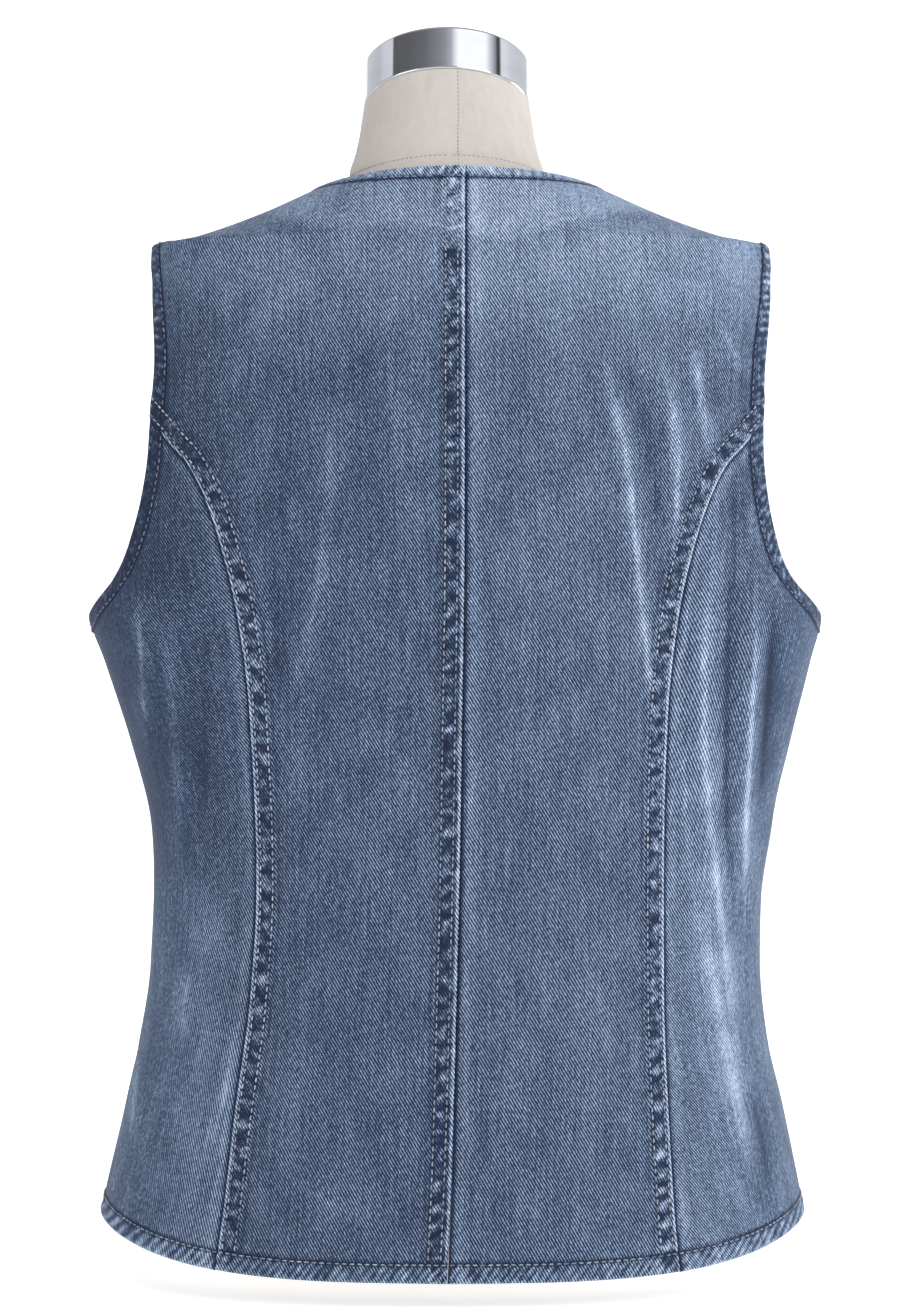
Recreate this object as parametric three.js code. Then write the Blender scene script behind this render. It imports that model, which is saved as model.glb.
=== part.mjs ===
// A sleeveless denim vest worn by a table-top dress form.
// Millimetres, +Z up. The back of the vest faces -Y and its front faces +Y, +X is the wearer's right.
// The origin is the centre of the stand's underside.
import * as THREE from "three";

// Cloth
const WALL = 1.5; // denim, with the seam allowances pressed against it
const TURNED_EDGE = 0.9; // extra thickness inside, where an edge is folded back
const FELL_RAISE = 1.1; // a felled seam stands this far above the panel
const FELL_WIDTH = 10.5;
const FELL_SLOPE = 1.6; // width of the step from the felled band down to the panel
const SEAM_GAP = 0.5;
const HEM_TURN = 10;
const LAYER_GAP = 0.3;

// Levels, from the surface that the stand rests on
const UNDERARM_Z = 354;
const SHOULDER_TIP_Z = 551;
const NECK_POINT_Z = 584; // where the neckline meets the shoulder seam
const BACK_NECK_Z = 588.6;
const FRONT_V_Z = 395;
const HEM_SIDE_Z = 33;
const HEM_BACK_DROP = 18.8;
const HEM_FRONT_DROP = 7;
const HEM_POWER = 4; // how late the hem rises towards the side seams

// The rounded-rectangle power of every horizontal section
const SECTION_POWER = 2.3;

// The vest's outer face, section by section. half: half the width. back and front: how far the face stands
// behind and before the side seams' plane. ridge: where the widest point lies. sway: the section's sideways shift.
const SECTIONS = [
  { z: 8, half: 197.5, back: 138, front: 126, ridge: 0, sway: -0.8 },
  { z: 30, half: 191.4, back: 135.5, front: 124, ridge: 0, sway: -0.6 },
  { z: 57, half: 185.4, back: 131, front: 121, ridge: 0, sway: -0.2 },
  { z: 90, half: 178.2, back: 125, front: 118, ridge: 0, sway: 0.3 },
  { z: 122, half: 170.9, back: 117, front: 114, ridge: 0, sway: 0.2 },
  { z: 166, half: 165.6, back: 107, front: 109, ridge: 0, sway: 1 },
  { z: 200, half: 165.2, back: 103, front: 107, ridge: 0, sway: 2 },
  { z: 242, half: 168.8, back: 103, front: 111, ridge: 0, sway: 4.4 },
  { z: 286, half: 179.2, back: 107, front: 118, ridge: 0, sway: 3.8 },
  { z: 329, half: 191.6, back: 111, front: 122, ridge: 0, sway: 2.2 },
  { z: 354, half: 198.3, back: 112.5, front: 120, ridge: -1, sway: 1 },
  { z: 380, half: 190, back: 113, front: 115, ridge: -4, sway: -0.2 },
  { z: 410, half: 186, back: 113, front: 107, ridge: -8, sway: 0.4 },
  { z: 450, half: 181, back: 111.5, front: 95, ridge: -11, sway: 1.4 },
  { z: 500, half: 174, back: 105, front: 75, ridge: -13, sway: 3.8 },
  { z: 530, half: 169.6, back: 98, front: 57, ridge: -14, sway: 4.2 },
  { z: 551, half: 165.8, back: 91, front: 42, ridge: -14, sway: 3.6 },
  { z: 555, half: 147, back: 89.5, front: 39, ridge: -14, sway: 3 },
  { z: 558, half: 137, back: 88.5, front: 36, ridge: -14, sway: 2.8 },
  { z: 569, half: 107, back: 84, front: 27, ridge: -14, sway: 2.6 },
  { z: 579.5, half: 83.3, back: 79.5, front: 17, ridge: -14, sway: 2.4 },
  { z: 584, half: 73, back: 77.5, front: 12, ridge: -14, sway: 2.2 },
  { z: 592, half: 55.5, back: 73, front: 3, ridge: -14, sway: 2 },
  { z: 600, half: 38, back: 62, front: -4, ridge: -14, sway: 2 },
  { z: 612, half: 19, back: 38, front: -9, ridge: -14, sway: 2 },
];

// The armhole's edge seen from behind and from the front: its distance from the centre.
const ARMHOLE = [
  { z: 354, back: 198.3, front: 198.3 },
  { z: 362, back: 190.8, front: 190.2 },
  { z: 372, back: 181.3, front: 179.5 },
  { z: 383, back: 174.8, front: 171.5 },
  { z: 393, back: 171, front: 166 },
  { z: 414, back: 165.6, front: 157.5 },
  { z: 440, back: 162.4, front: 152.5 },
  { z: 480, back: 161.6, front: 152.5 },
  { z: 525, back: 164.8, front: 160 },
  { z: 551, back: 165.8, front: 165.8 },
];

// The princess seams' distance from the middle line, on the back and on the front.
const PRINCESS = [
  { z: 8, back: 120, front: 113 },
  { z: 44, back: 115.7, front: 109 },
  { z: 90, back: 112, front: 103 },
  { z: 152, back: 107.3, front: 94 },
  { z: 213, back: 105.8, front: 88 },
  { z: 303, back: 108.4, front: 88 },
  { z: 351, back: 113.9, front: 95 },
  { z: 388, back: 122.5, front: 108 },
  { z: 409, back: 129.4, front: 119 },
  { z: 430, back: 139.6, front: 134 },
  { z: 445, back: 152.6, front: 152.3 },
  { z: 461, back: 162.2, front: 165 },
];
const APEX_Z = { back: 461, front: 445 }; // where a princess seam meets the armhole

// The seams' sideways shift from the middle: the vest hangs a little askew.
const DRIFT = [
  { z: 8, seams: -3.4, centreBack: -3.6 },
  { z: 80, seams: -1.6, centreBack: -0.4 },
  { z: 150, seams: 1.6, centreBack: 1.6 },
  { z: 213, seams: 3.4, centreBack: 3.2 },
  { z: 300, seams: 2.6, centreBack: 4.6 },
  { z: 390, seams: 2, centreBack: 5.8 },
  { z: 590, seams: 2.2, centreBack: 6.2 },
];

// The largest folds: a soft ridge (rise above 0) or trough along a line from one height to another,
// x as seen from behind with the wearer's right positive.
const FOLDS = [
  { face: "back", x0: 74, z0: 512, x1: 104, z1: 330, width: 9, rise: 1.6 },
  { face: "back", x0: 114, z0: 468, x1: 121, z1: 384, width: 8, rise: 1.7 },
  { face: "back", x0: 132, z0: 474, x1: 136, z1: 432, width: 7, rise: 1.4 },
  { face: "back", x0: 130, z0: 360, x1: 133, z1: 262, width: 10, rise: 2.0 },
  { face: "back", x0: 137, z0: 250, x1: 152, z1: 110, width: 11, rise: 2.0 },
  { face: "back", x0: 161, z0: 376, x1: 154, z1: 210, width: 9, rise: 2.2 },
  { face: "back", x0: 172, z0: 350, x1: 162, z1: 270, width: 8, rise: -1.8 },
  { face: "back", x0: 128, z0: 150, x1: 133, z1: 40, width: 12, rise: -1.6 },
  { face: "back", x0: -170, z0: 384, x1: -163, z1: 262, width: 9, rise: 1.8 },
  { face: "back", x0: -137, z0: 166, x1: -150, z1: 70, width: 11, rise: 1.6 },
  { face: "back", x0: -111, z0: 150, x1: -140, z1: 45, width: 9, rise: 1.4 },
  { face: "back", x0: -62, z0: 420, x1: -82, z1: 306, width: 11, rise: 1.4 },
  { face: "front", x0: 128, z0: 372, x1: 104, z1: 250, width: 10, rise: 1.6 },
  { face: "front", x0: -126, z0: 376, x1: -108, z1: 262, width: 10, rise: 1.6 },
  { face: "front", x0: 142, z0: 240, x1: 150, z1: 90, width: 12, rise: 1.6 },
  { face: "front", x0: -140, z0: 230, x1: -150, z1: 80, width: 12, rise: 1.6 },
];

// Bust shaping, put in by the front princess seams.
const BUST = { x: 80, z: 322, reachX: 46, reachZ: 52, rise: 9 };

// Grid of each panel
const ROWS_BELOW_APEX = 16;
const ROWS_ABOVE_APEX = 12;
const APEX_SHARE = 0.76; // of a centre panel's height
const NECK_SHARE = 0.5; // of a centre panel's width
const INNER_COLUMNS = { back: 3, front: 10 }; // under the neckline
const OUTER_COLUMNS = 4; // under the shoulder seam
const SIDE_COLUMNS = 7;

// Button band and buttons on the front's middle line
const BAND_HALF = 14;
const BUTTON_COUNT = 5;
const BUTTON_TOP_Z = 338;
const BUTTON_PITCH = 65;
const BUTTON_LIFT = 0.3; // clears the band's facets
const BUTTON = { capRadius: 8.5, rimHeight: 1.6, domeHeight: 1, shankRadius: 3.6, shankHeight: 1.8, sides: 16 };

// The dress form lies inside the vest's outer face by this inset, square to it, and by the ease of its level:
// at the side, behind and before.
const FORM_INSET = 3.1;
const FORM_SHIFT = -1.5;
const FORM_EASE = [
  { z: 16, side: 26, back: 32, front: 24, power: 2.3 },
  { z: 60, side: 16, back: 20, front: 16, power: 2.3 },
  { z: 120, side: 13, back: 12, front: 14, power: 2.3 },
  { z: 200, side: 17, back: 13, front: 15, power: 2.3 },
  { z: 290, side: 20, back: 6, front: 2, power: 2.4 },
  { z: 354, side: 29, back: 3, front: 2, power: 2.5 },
  { z: 400, side: 24, back: 2, front: 3, power: 2.6 },
  { z: 470, side: 16, back: 1, front: 2, power: 2.6 },
  { z: 525, side: 11, back: 0.4, front: 0.6, power: 2.4 },
  { z: 546, side: 13, back: 0, front: 0.8, power: 2.3 },
  { z: 555, side: 1.2, back: 0, front: 2, power: 2.3 },
  { z: 575, side: 4.2, back: 0.2, front: 4, power: 2.3 },
  { z: 586, side: 6, back: 1.2, front: 3, power: 2.3 },
  { z: 592, side: 6, back: 1.5, front: 1, power: 2.3 },
];
const FORM_LEVELS = [20, 26, 50, 80, 115, 150, 185, 220, 255, 290, 322, 354, 388, 420, 452, 484, 508, 526, 538,
  546, 550, 553, 556, 560, 565, 570, 575, 579, 583, 587, 591, 596, 602, 609, 616, 623, 630.1];
const FORM_SIDES = 56;
// The neck is a round column that leans forward. Its sections turn from level to square on the column.
const NECK = [
  { z: 500, radius: 51.5 },
  { z: 592, radius: 52.9 },
  { z: 603, radius: 50 },
  { z: 613, radius: 47.8 },
  { z: 622, radius: 46.5 },
  { z: 630.1, radius: 45.4 },
];
const NECK_LEAN = 20; // degrees
const NECK_TOP = { x: -3.6, y: 6, z: 630.1 };
const NECK_ROOT_Z = 530;
const NECK_TURN_START_Z = 596;
const NECK_BLEND = 9; // softness of the corner between the neck and the shoulders
const CAP = { radius: 45.4, height: 26, domeHeight: 2, edgeRadius: 1.2, sides: 40 };
const STAND = { halfWidth: 104, halfDepth: 60, height: 19.6, sides: 40 };

const RADIANS = Math.PI / 180;
const clamp = (value, low, high) => Math.min(high, Math.max(low, value));
const mix = (a, b, share) => a + (b - a) * share;
const smoothStep = (share) => {
  const s = clamp(share, 0, 1);
  return s * s * (3 - 2 * s);
};

// A smooth curve through one column of a table that never overshoots its rows.
function columnCurve(table, column) {
  const z = table.map((row) => row.z);
  const value = table.map((row) => row[column]);
  const slope = z.slice(1).map((_, i) => (value[i + 1] - value[i]) / (z[i + 1] - z[i]));
  const tangent = value.map((_, i) => {
    if (i === 0) return slope[0];
    if (i === value.length - 1) return slope[i - 1];
    if (slope[i - 1] * slope[i] <= 0) return 0;
    const before = z[i] - z[i - 1];
    const after = z[i + 1] - z[i];
    const weightBefore = 2 * after + before;
    const weightAfter = after + 2 * before;
    return (weightBefore + weightAfter) / (weightBefore / slope[i - 1] + weightAfter / slope[i]);
  });
  return (at) => {
    const level = clamp(at, z[0], z[z.length - 1]);
    let i = 0;
    while (i < z.length - 2 && level > z[i + 1]) i++;
    const span = z[i + 1] - z[i];
    const t = (level - z[i]) / span;
    const t2 = t * t;
    const t3 = t2 * t;
    return value[i] * (2 * t3 - 3 * t2 + 1) + tangent[i] * span * (t3 - 2 * t2 + t)
      + value[i + 1] * (3 * t2 - 2 * t3) + tangent[i + 1] * span * (t3 - t2);
  };
}

const tableCurves = (table) => Object.fromEntries(
  Object.keys(table[0]).filter((key) => key !== "z").map((key) => [key, columnCurve(table, key)]),
);
const section = tableCurves(SECTIONS);
const armhole = tableCurves(ARMHOLE);
const princess = tableCurves(PRINCESS);
const drift = tableCurves(DRIFT);
const ease = tableCurves(FORM_EASE);
const neck = tableCurves(NECK);

// How far the surface reaches from the ridge line towards one face, at a level.
const reach = (face, z) => (face === "back" ? section.ridge(z) + section.back(z) : section.front(z) - section.ridge(z));
const facing = (face) => (face === "back" ? -1 : 1);

// y of the outer face at a distance u from the section's own middle. Back and front stop half a gap short of
// the ridge line, which leaves the gap of the side seams and of the shoulder seams.
function depthAt(face, u, z) {
  const share = clamp(Math.abs(u) / section.half(z), 0, 1);
  const bulge = (1 - share ** SECTION_POWER) ** (1 / SECTION_POWER);
  return section.ridge(z) + facing(face) * Math.max(reach(face, z) * bulge, SEAM_GAP / 2);
}

// The outward normal there, from the gradient of the section's formula.
function normalAt(face, u, y, z) {
  const STEP = 0.5;
  const n = SECTION_POWER;
  const half = section.half(z);
  const depth = reach(face, z);
  const across = clamp(Math.abs(u) / half, 0, 1);
  const along = clamp(Math.abs(y - section.ridge(z)) / depth, 0, 1);
  const rate = (curve) => (curve(z + STEP) - curve(z - STEP)) / (2 * STEP);
  const depthRate = (reach(face, z + STEP) - reach(face, z - STEP)) / (2 * STEP);
  const gradX = (across ** (n - 1) / half) * Math.sign(u);
  const gradY = (along ** (n - 1) / depth) * facing(face);
  const gradZ = -(across ** n) * rate(section.half) / half - (along ** n) * depthRate / depth
    - (along ** (n - 1)) * facing(face) * rate(section.ridge) / depth;
  return new THREE.Vector3(gradX, gradY, gradZ).normalize();
}

// How far the cloth is pushed out by the folds and the bust, at x and z on one face.
function relief(face, x, z) {
  let rise = 0;
  for (const fold of FOLDS) {
    if (fold.face !== face) continue;
    const dx = fold.x1 - fold.x0;
    const dz = fold.z1 - fold.z0;
    const t = ((x - fold.x0) * dx + (z - fold.z0) * dz) / (dx * dx + dz * dz);
    const off = Math.hypot(x - fold.x0 - dx * t, z - fold.z0 - dz * t);
    const taper = smoothStep((t + 0.25) / 0.5) * smoothStep((1.25 - t) / 0.5);
    rise += fold.rise * Math.exp(-((off / fold.width) ** 2)) * taper;
  }
  if (face === "front") {
    const across = (Math.abs(x) - BUST.x) / BUST.reachX;
    const up = (z - BUST.z) / BUST.reachZ;
    rise += BUST.rise * Math.exp(-across * across - up * up);
  }
  return rise;
}

// A point of the cloth: side is +1 or -1, u the distance from the section's middle, out the height above the face.
function clothPoint(face, side, u, z, out) {
  const y = depthAt(face, u, z);
  const x = side * u + section.sway(z);
  const normal = normalAt(face, side * u, y, z);
  const height = out + relief(face, x, z) * smoothStep((SHOULDER_TIP_Z - z) / 60);
  return new THREE.Vector3(x, y, z).addScaledVector(normal, height);
}

// Seam lines as distances u from the section's middle.
const centreBackU = (side, z) => side * (drift.centreBack(z) - section.sway(z));
const princessU = (face, side, z) => princess[face](z) + side * (drift.seams(z) - section.sway(z));
const sideAngleU = (angle, z) => section.half(z) * Math.sin(angle) ** (2 / SECTION_POWER);
const angleOfU = (u, z) => Math.asin(clamp(u / section.half(z), 0, 1) ** (SECTION_POWER / 2));

// The hem's height at a distance u: it dips towards the middle of the back.
function hemZ(face, u) {
  const share = clamp(Math.abs(u) / section.half(HEM_SIDE_Z), 0, 1);
  return HEM_SIDE_Z - (face === "back" ? HEM_BACK_DROP : HEM_FRONT_DROP) * (1 - share ** HEM_POWER);
}

// The armhole's edge: turn 0 is the underarm and PI is the shoulder tip.
function armholeAt(face, turn) {
  const z = mix(UNDERARM_Z, SHOULDER_TIP_Z, (1 - Math.cos(turn)) / 2);
  return { u: Math.min(armhole[face](z), section.half(z)), z };
}
const apexTurn = (face) => Math.acos(1 - (2 * (APEX_Z[face] - UNDERARM_Z)) / (SHOULDER_TIP_Z - UNDERARM_Z));

// The shoulder seam runs along the ridge from the neckline to the tip, and is cut to even lengths.
function ridgeAt(share) {
  const along = mix(section.half(NECK_POINT_Z), section.half(SHOULDER_TIP_Z), share);
  let low = SHOULDER_TIP_Z;
  let high = NECK_POINT_Z;
  for (let i = 0; i < 40; i++) {
    const middle = (low + high) / 2;
    if (section.half(middle) > along) low = middle;
    else high = middle;
  }
  return { u: along, z: (low + high) / 2 };
}

// The neckline from the middle of the back or front (share 0) to the shoulder seam (share 1). The front's runs
// level across the button band, then straight up to the neck point.
const BAND_SHARE = 0.1;
function neckAt(face, side, share) {
  if (face === "back") {
    const middle = centreBackU(side, BACK_NECK_Z);
    const start = Math.sign(middle) * angleOfU(Math.abs(middle), BACK_NECK_Z);
    const angle = mix(start, Math.PI / 2, share);
    const z = BACK_NECK_Z + (NECK_POINT_Z - BACK_NECK_Z) * Math.sin(angle) ** 2;
    return { u: share === 0 ? middle : Math.sign(angle) * sideAngleU(Math.abs(angle), z), z };
  }
  const middle = -side * section.sway(FRONT_V_Z);
  const corner = middle + BAND_HALF;
  if (share <= BAND_SHARE) return { u: mix(middle, corner, share / BAND_SHARE), z: FRONT_V_Z };
  const rise = (share - BAND_SHARE) / (1 - BAND_SHARE);
  return { u: mix(corner, section.half(NECK_POINT_Z), rise), z: mix(FRONT_V_Z, NECK_POINT_Z, rise) };
}

// The share of a panel's height at each row: even up to the apex, then closing up towards the shoulder.
function rowShares(height) {
  const shares = [0, HEM_TURN / height, (HEM_TURN + FELL_SLOPE) / height];
  for (let i = 1; i <= ROWS_BELOW_APEX; i++) shares.push((APEX_SHARE * i) / ROWS_BELOW_APEX);
  for (let i = 1; i <= ROWS_ABOVE_APEX; i++) {
    shares.push(APEX_SHARE + (1 - APEX_SHARE) * Math.sin((Math.PI / 2) * (i / ROWS_ABOVE_APEX)));
  }
  return shares;
}
const HEIGHT = BACK_NECK_Z - HEM_SIDE_Z;
const SHARES = rowShares(HEIGHT);
const SEAM_ROWS = SHARES.length - ROWS_ABOVE_APEX; // rows from the hem to the apex

// The right-hand edge of a centre panel: up the princess seam, then up the armhole.
function outerEdgeAt(face, side, row) {
  if (row < SEAM_ROWS) {
    const start = hemZ(face, princess[face](HEM_SIDE_Z));
    const z = mix(start, APEX_Z[face], SHARES[row] / APEX_SHARE);
    const u = row === SEAM_ROWS - 1 ? armhole[face](z) : Math.min(princessU(face, side, z), armhole[face](z));
    return { u, z };
  }
  const turn = mix(apexTurn(face), Math.PI, (row - SEAM_ROWS + 1) / ROWS_ABOVE_APEX);
  return armholeAt(face, turn);
}

// Coons patch in the (u, z) plane, from its four edges. The top edge's shape dies away quickly below it.
const TOP_FADE = 2.6;
function coons(bottom, top, left, right, corners, across, up) {
  const pull = up ** TOP_FADE;
  const between = (key, a, b) => mix(corners[a][key], corners[b][key], across);
  const blend = (key) => mix(left[key], right[key], across)
    + (1 - pull) * (bottom[key] - between(key, "bottomLeft", "bottomRight"))
    + pull * (top[key] - between(key, "topLeft", "topRight"));
  return { u: blend("u"), z: blend("z") };
}

// A centre panel, back or front: its point at a share of the width on one row.
function centrePatch(face, side) {
  const leftU = (z) => (face === "back" ? centreBackU(side, z) : -side * section.sway(z));
  const top = (across) => (across < NECK_SHARE
    ? neckAt(face, side, across / NECK_SHARE)
    : ridgeAt((across - NECK_SHARE) / (1 - NECK_SHARE)));
  const bottomLeft = { u: leftU(HEM_SIDE_Z), z: hemZ(face, 0) };
  const bottomRight = outerEdgeAt(face, side, 0);
  const topLeft = { u: leftU(top(0).z), z: top(0).z };
  const topRight = top(1);
  return (row, across) => {
    const up = SHARES[row];
    const leftZ = mix(bottomLeft.z, topLeft.z, up);
    const bottomU = mix(bottomLeft.u, bottomRight.u, across);
    const bottom = { u: bottomU, z: hemZ(face, bottomU) };
    const corners = { bottomLeft, bottomRight, topLeft, topRight };
    const left = { u: leftU(leftZ), z: leftZ };
    return coons(bottom, top(across), left, outerEdgeAt(face, side, row), corners, across, up);
  };
}

// A side panel, in the (angle, z) plane: u holds the angle from the middle of that face.
function sidePatch(face, side) {
  const toAngle = ({ u, z }) => ({ u: angleOfU(u, z), z });
  const top = (across) => {
    const turn = apexTurn(face) * (1 - across);
    return across === 0 ? toAngle(outerEdgeAt(face, side, SEAM_ROWS - 1)) : toAngle(armholeAt(face, turn));
  };
  const hem = (angle) => ({ u: angle, z: hemZ(face, sideAngleU(angle, HEM_SIDE_Z)) });
  const start = toAngle(outerEdgeAt(face, side, 0));
  const corners = {
    bottomLeft: { u: start.u, z: start.z },
    bottomRight: { u: Math.PI / 2, z: HEM_SIDE_Z },
    topLeft: top(0),
    topRight: { u: Math.PI / 2, z: UNDERARM_Z },
  };
  return (row, across) => {
    const up = SHARES[row] / APEX_SHARE;
    const left = toAngle(outerEdgeAt(face, side, row));
    const right = { u: Math.PI / 2, z: mix(HEM_SIDE_Z, UNDERARM_Z, up) };
    const bottom = hem(mix(start.u, Math.PI / 2, across));
    const found = coons(bottom, top(across), left, right, corners, across, up);
    return { u: sideAngleU(clamp(found.u, 0, Math.PI / 2), found.z), z: found.z };
  };
}

// Places along one row by true length: distances from the row's start, then from its end, with even steps between.
function rowPlaces(face, side, patch, row, fromShare, toShare, startGaps, steps, endGaps) {
  const SAMPLES = 48;
  const length = [0];
  let before = null;
  for (let i = 0; i <= SAMPLES; i++) {
    const place = patch(row, mix(fromShare, toShare, i / SAMPLES));
    const point = clothPoint(face, side, place.u, place.z, 0);
    if (before) length.push(length[i - 1] + before.distanceTo(point));
    before = point;
  }
  const total = length[SAMPLES];
  const first = startGaps.length ? startGaps[startGaps.length - 1] : 0;
  const last = endGaps.length ? total - endGaps[endGaps.length - 1] : total;
  const wanted = [...startGaps];
  for (let i = 1; i < steps; i++) wanted.push(mix(first, last, i / steps));
  for (const gap of [...endGaps].reverse()) wanted.push(total - gap);
  return wanted.map((distance) => {
    let i = 1;
    while (i < SAMPLES && length[i] < distance) i++;
    const within = (distance - length[i - 1]) / (length[i] - length[i - 1]);
    return mix(fromShare, toShare, (i - 1 + within) / SAMPLES);
  });
}

// One closed body from two grids of points, outer and inner, with its four edges walled. Each cell is split
// along its outermost diagonal, so that pieces made from the same points lie alike.
function closedWall(outer, inner) {
  const rows = outer.length;
  const columns = outer[0].length;
  const position = [];
  for (const grid of [outer, inner]) {
    for (const line of grid) for (const point of line) position.push(point.x, point.y, point.z);
  }
  const index = [];
  const at = (layer, row, column) => layer * rows * columns + row * columns + column;
  const quad = (a, b, c, d) => index.push(a, b, c, a, c, d);
  for (let i = 0; i < rows - 1; i++) {
    for (let j = 0; j < columns - 1; j++) {
      for (const layer of [0, 1]) {
        const grid = layer === 0 ? outer : inner;
        const outwards = outer[i][j].clone().sub(inner[i][j]);
        const rising = grid[i][j].clone().add(grid[i + 1][j + 1]);
        const falling = grid[i][j + 1].clone().add(grid[i + 1][j]);
        const corners = [at(layer, i, j), at(layer, i, j + 1), at(layer, i + 1, j + 1), at(layer, i + 1, j)];
        if (rising.sub(falling).dot(outwards) < 0) corners.push(corners.shift());
        const [a, b, c, d] = corners;
        if (layer === 0) quad(a, b, c, d);
        else quad(a, d, c, b);
      }
    }
  }
  for (let j = 0; j < columns - 1; j++) {
    quad(at(0, 0, j), at(1, 0, j), at(1, 0, j + 1), at(0, 0, j + 1));
    quad(at(0, rows - 1, j), at(0, rows - 1, j + 1), at(1, rows - 1, j + 1), at(1, rows - 1, j));
  }
  for (let i = 0; i < rows - 1; i++) {
    quad(at(0, i, 0), at(0, i + 1, 0), at(1, i + 1, 0), at(1, i, 0));
    quad(at(0, i, columns - 1), at(1, i, columns - 1), at(1, i + 1, columns - 1), at(0, i + 1, columns - 1));
  }
  return solidGeometry(position, index);
}

// A geometry with its faces turned outwards, whichever way its grid ran.
function solidGeometry(position, index) {
  let volume = 0;
  const point = (i) => new THREE.Vector3().fromArray(position, 3 * i);
  for (let i = 0; i < index.length; i += 3) {
    volume += point(index[i]).dot(point(index[i + 1]).cross(point(index[i + 2])));
  }
  if (volume < 0) {
    for (let i = 0; i < index.length; i += 3) [index[i + 1], index[i + 2]] = [index[i + 2], index[i + 1]];
  }
  const geometry = new THREE.BufferGeometry();
  geometry.setAttribute("position", new THREE.Float32BufferAttribute(position, 3));
  geometry.setIndex(index);
  geometry.computeVertexNormals();
  return geometry;
}

// The shares across at which a centre panel has its columns on one row.
function centreColumns(face, side, patch, row, startGaps, endGaps) {
  return [
    ...rowPlaces(face, side, patch, row, 0, NECK_SHARE, startGaps, INNER_COLUMNS[face], []),
    ...rowPlaces(face, side, patch, row, NECK_SHARE, 1, [0], OUTER_COLUMNS, endGaps),
  ];
}

// A grid of cloth points on a patch, with each point's offset from the outer face.
function clothGrid(face, side, patch, rows, places, offset) {
  const grid = [];
  for (let row = 0; row < rows; row++) {
    const shares = places(row);
    grid.push(shares.map((across, column) => {
      const place = patch(row, across);
      return clothPoint(face, side, place.u, place.z, offset(row, column, shares.length));
    }));
  }
  return grid;
}

// A back or front centre panel. It laps over the side panel, so its felled band runs up the princess seam;
// lapsCentre gives it the band of the centre back seam too.
function centrePanel(face, side, lapsCentre) {
  const patch = centrePatch(face, side);
  const rows = SHARES.length;
  const places = (row) => centreColumns(face, side, patch, row, startGapsOf(face, lapsCentre), BAND_GAPS);
  const raise = (row, column, count) => {
    const onPrincess = column >= count - 2 && row < SEAM_ROWS;
    const onCentre = lapsCentre && column < 2;
    return onPrincess || onCentre ? FELL_RAISE : 0;
  };
  const inside = (row, column, count) => {
    const onArmhole = column >= count - 2 && row >= SEAM_ROWS;
    return -WALL - (row < 2 || row === rows - 1 || onArmhole ? TURNED_EDGE : 0);
  };
  return closedWall(
    clothGrid(face, side, patch, rows, places, raise),
    clothGrid(face, side, patch, rows, places, inside),
  );
}

// Distances from a panel's edge at which it has a column: the edge, then both sides of the felled band's step.
const BAND_GAPS = [SEAM_GAP / 2, FELL_WIDTH, FELL_WIDTH + FELL_SLOPE];
function startGapsOf(face, lapsCentre) {
  if (face === "front") return [SEAM_GAP / 2, BAND_HALF];
  return lapsCentre ? BAND_GAPS : [SEAM_GAP / 2];
}

// A side panel, from the princess seam to the side seam, with the armhole's edge on top.
function sidePanel(face, side) {
  const patch = sidePatch(face, side);
  const places = (row) => rowPlaces(face, side, patch, row, 0, 1, [SEAM_GAP / 2], SIDE_COLUMNS, [0]);
  const inside = (row) => -WALL - (row < 2 || row === SEAM_ROWS - 1 ? TURNED_EDGE : 0);
  return closedWall(
    clothGrid(face, side, patch, SEAM_ROWS, places, () => 0),
    clothGrid(face, side, patch, SEAM_ROWS, places, inside),
  );
}

// The button band lies on both fronts along the middle: it is made from their own points, moved out.
function buttonBand() {
  const [left, right] = [-1, 1].map((side) => {
    const patch = centrePatch("front", side);
    const places = (row) => centreColumns("front", side, patch, row, startGapsOf("front", false), BAND_GAPS).slice(0, 2);
    return (out) => clothGrid("front", side, patch, SHARES.length, places, () => out);
  });
  const layer = (out) => {
    const rightRows = right(out);
    return left(out).map((line, row) => {
      const middle = line[0].clone().add(rightRows[row][0]).multiplyScalar(0.5);
      return [line[1], middle, rightRows[row][1]];
    });
  };
  return closedWall(layer(LAYER_GAP + WALL), layer(LAYER_GAP));
}

// A shank button: a shallow domed cap on a short post, turned to the cloth's own direction.
function shankButton() {
  const { capRadius, rimHeight, domeHeight, shankRadius, shankHeight, sides } = BUTTON;
  const profile = [
    [0, 0],
    [shankRadius, 0],
    [shankRadius, shankHeight],
    [capRadius, shankHeight],
    [capRadius, shankHeight + rimHeight],
    [capRadius * 0.6, shankHeight + rimHeight + domeHeight * 0.7],
    [0, shankHeight + rimHeight + domeHeight],
  ].map(([radius, height]) => new THREE.Vector2(radius, height));
  return new THREE.LatheGeometry(profile, sides);
}

// A closed body through a stack of level or tilted rings, each the same number of points.
function ringBody(rings) {
  const sides = rings[0].length;
  const position = [];
  const index = [];
  for (const ring of rings) for (const point of ring) position.push(point.x, point.y, point.z);
  for (let i = 0; i < rings.length - 1; i++) {
    for (let j = 0; j < sides; j++) {
      const next = (j + 1) % sides;
      const [a, b] = [i * sides + j, i * sides + next];
      index.push(a, b, b + sides, a, b + sides, a + sides);
    }
  }
  for (const [ring, upward] of [[0, false], [rings.length - 1, true]]) {
    const centre = rings[ring].reduce((sum, point) => sum.add(point), new THREE.Vector3()).divideScalar(sides);
    const middle = position.length / 3;
    position.push(centre.x, centre.y, centre.z);
    for (let j = 0; j < sides; j++) {
      const [a, b] = [ring * sides + j, ring * sides + ((j + 1) % sides)];
      index.push(...(upward ? [middle, a, b] : [middle, b, a]));
    }
  }
  return solidGeometry(position, index);
}

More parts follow.
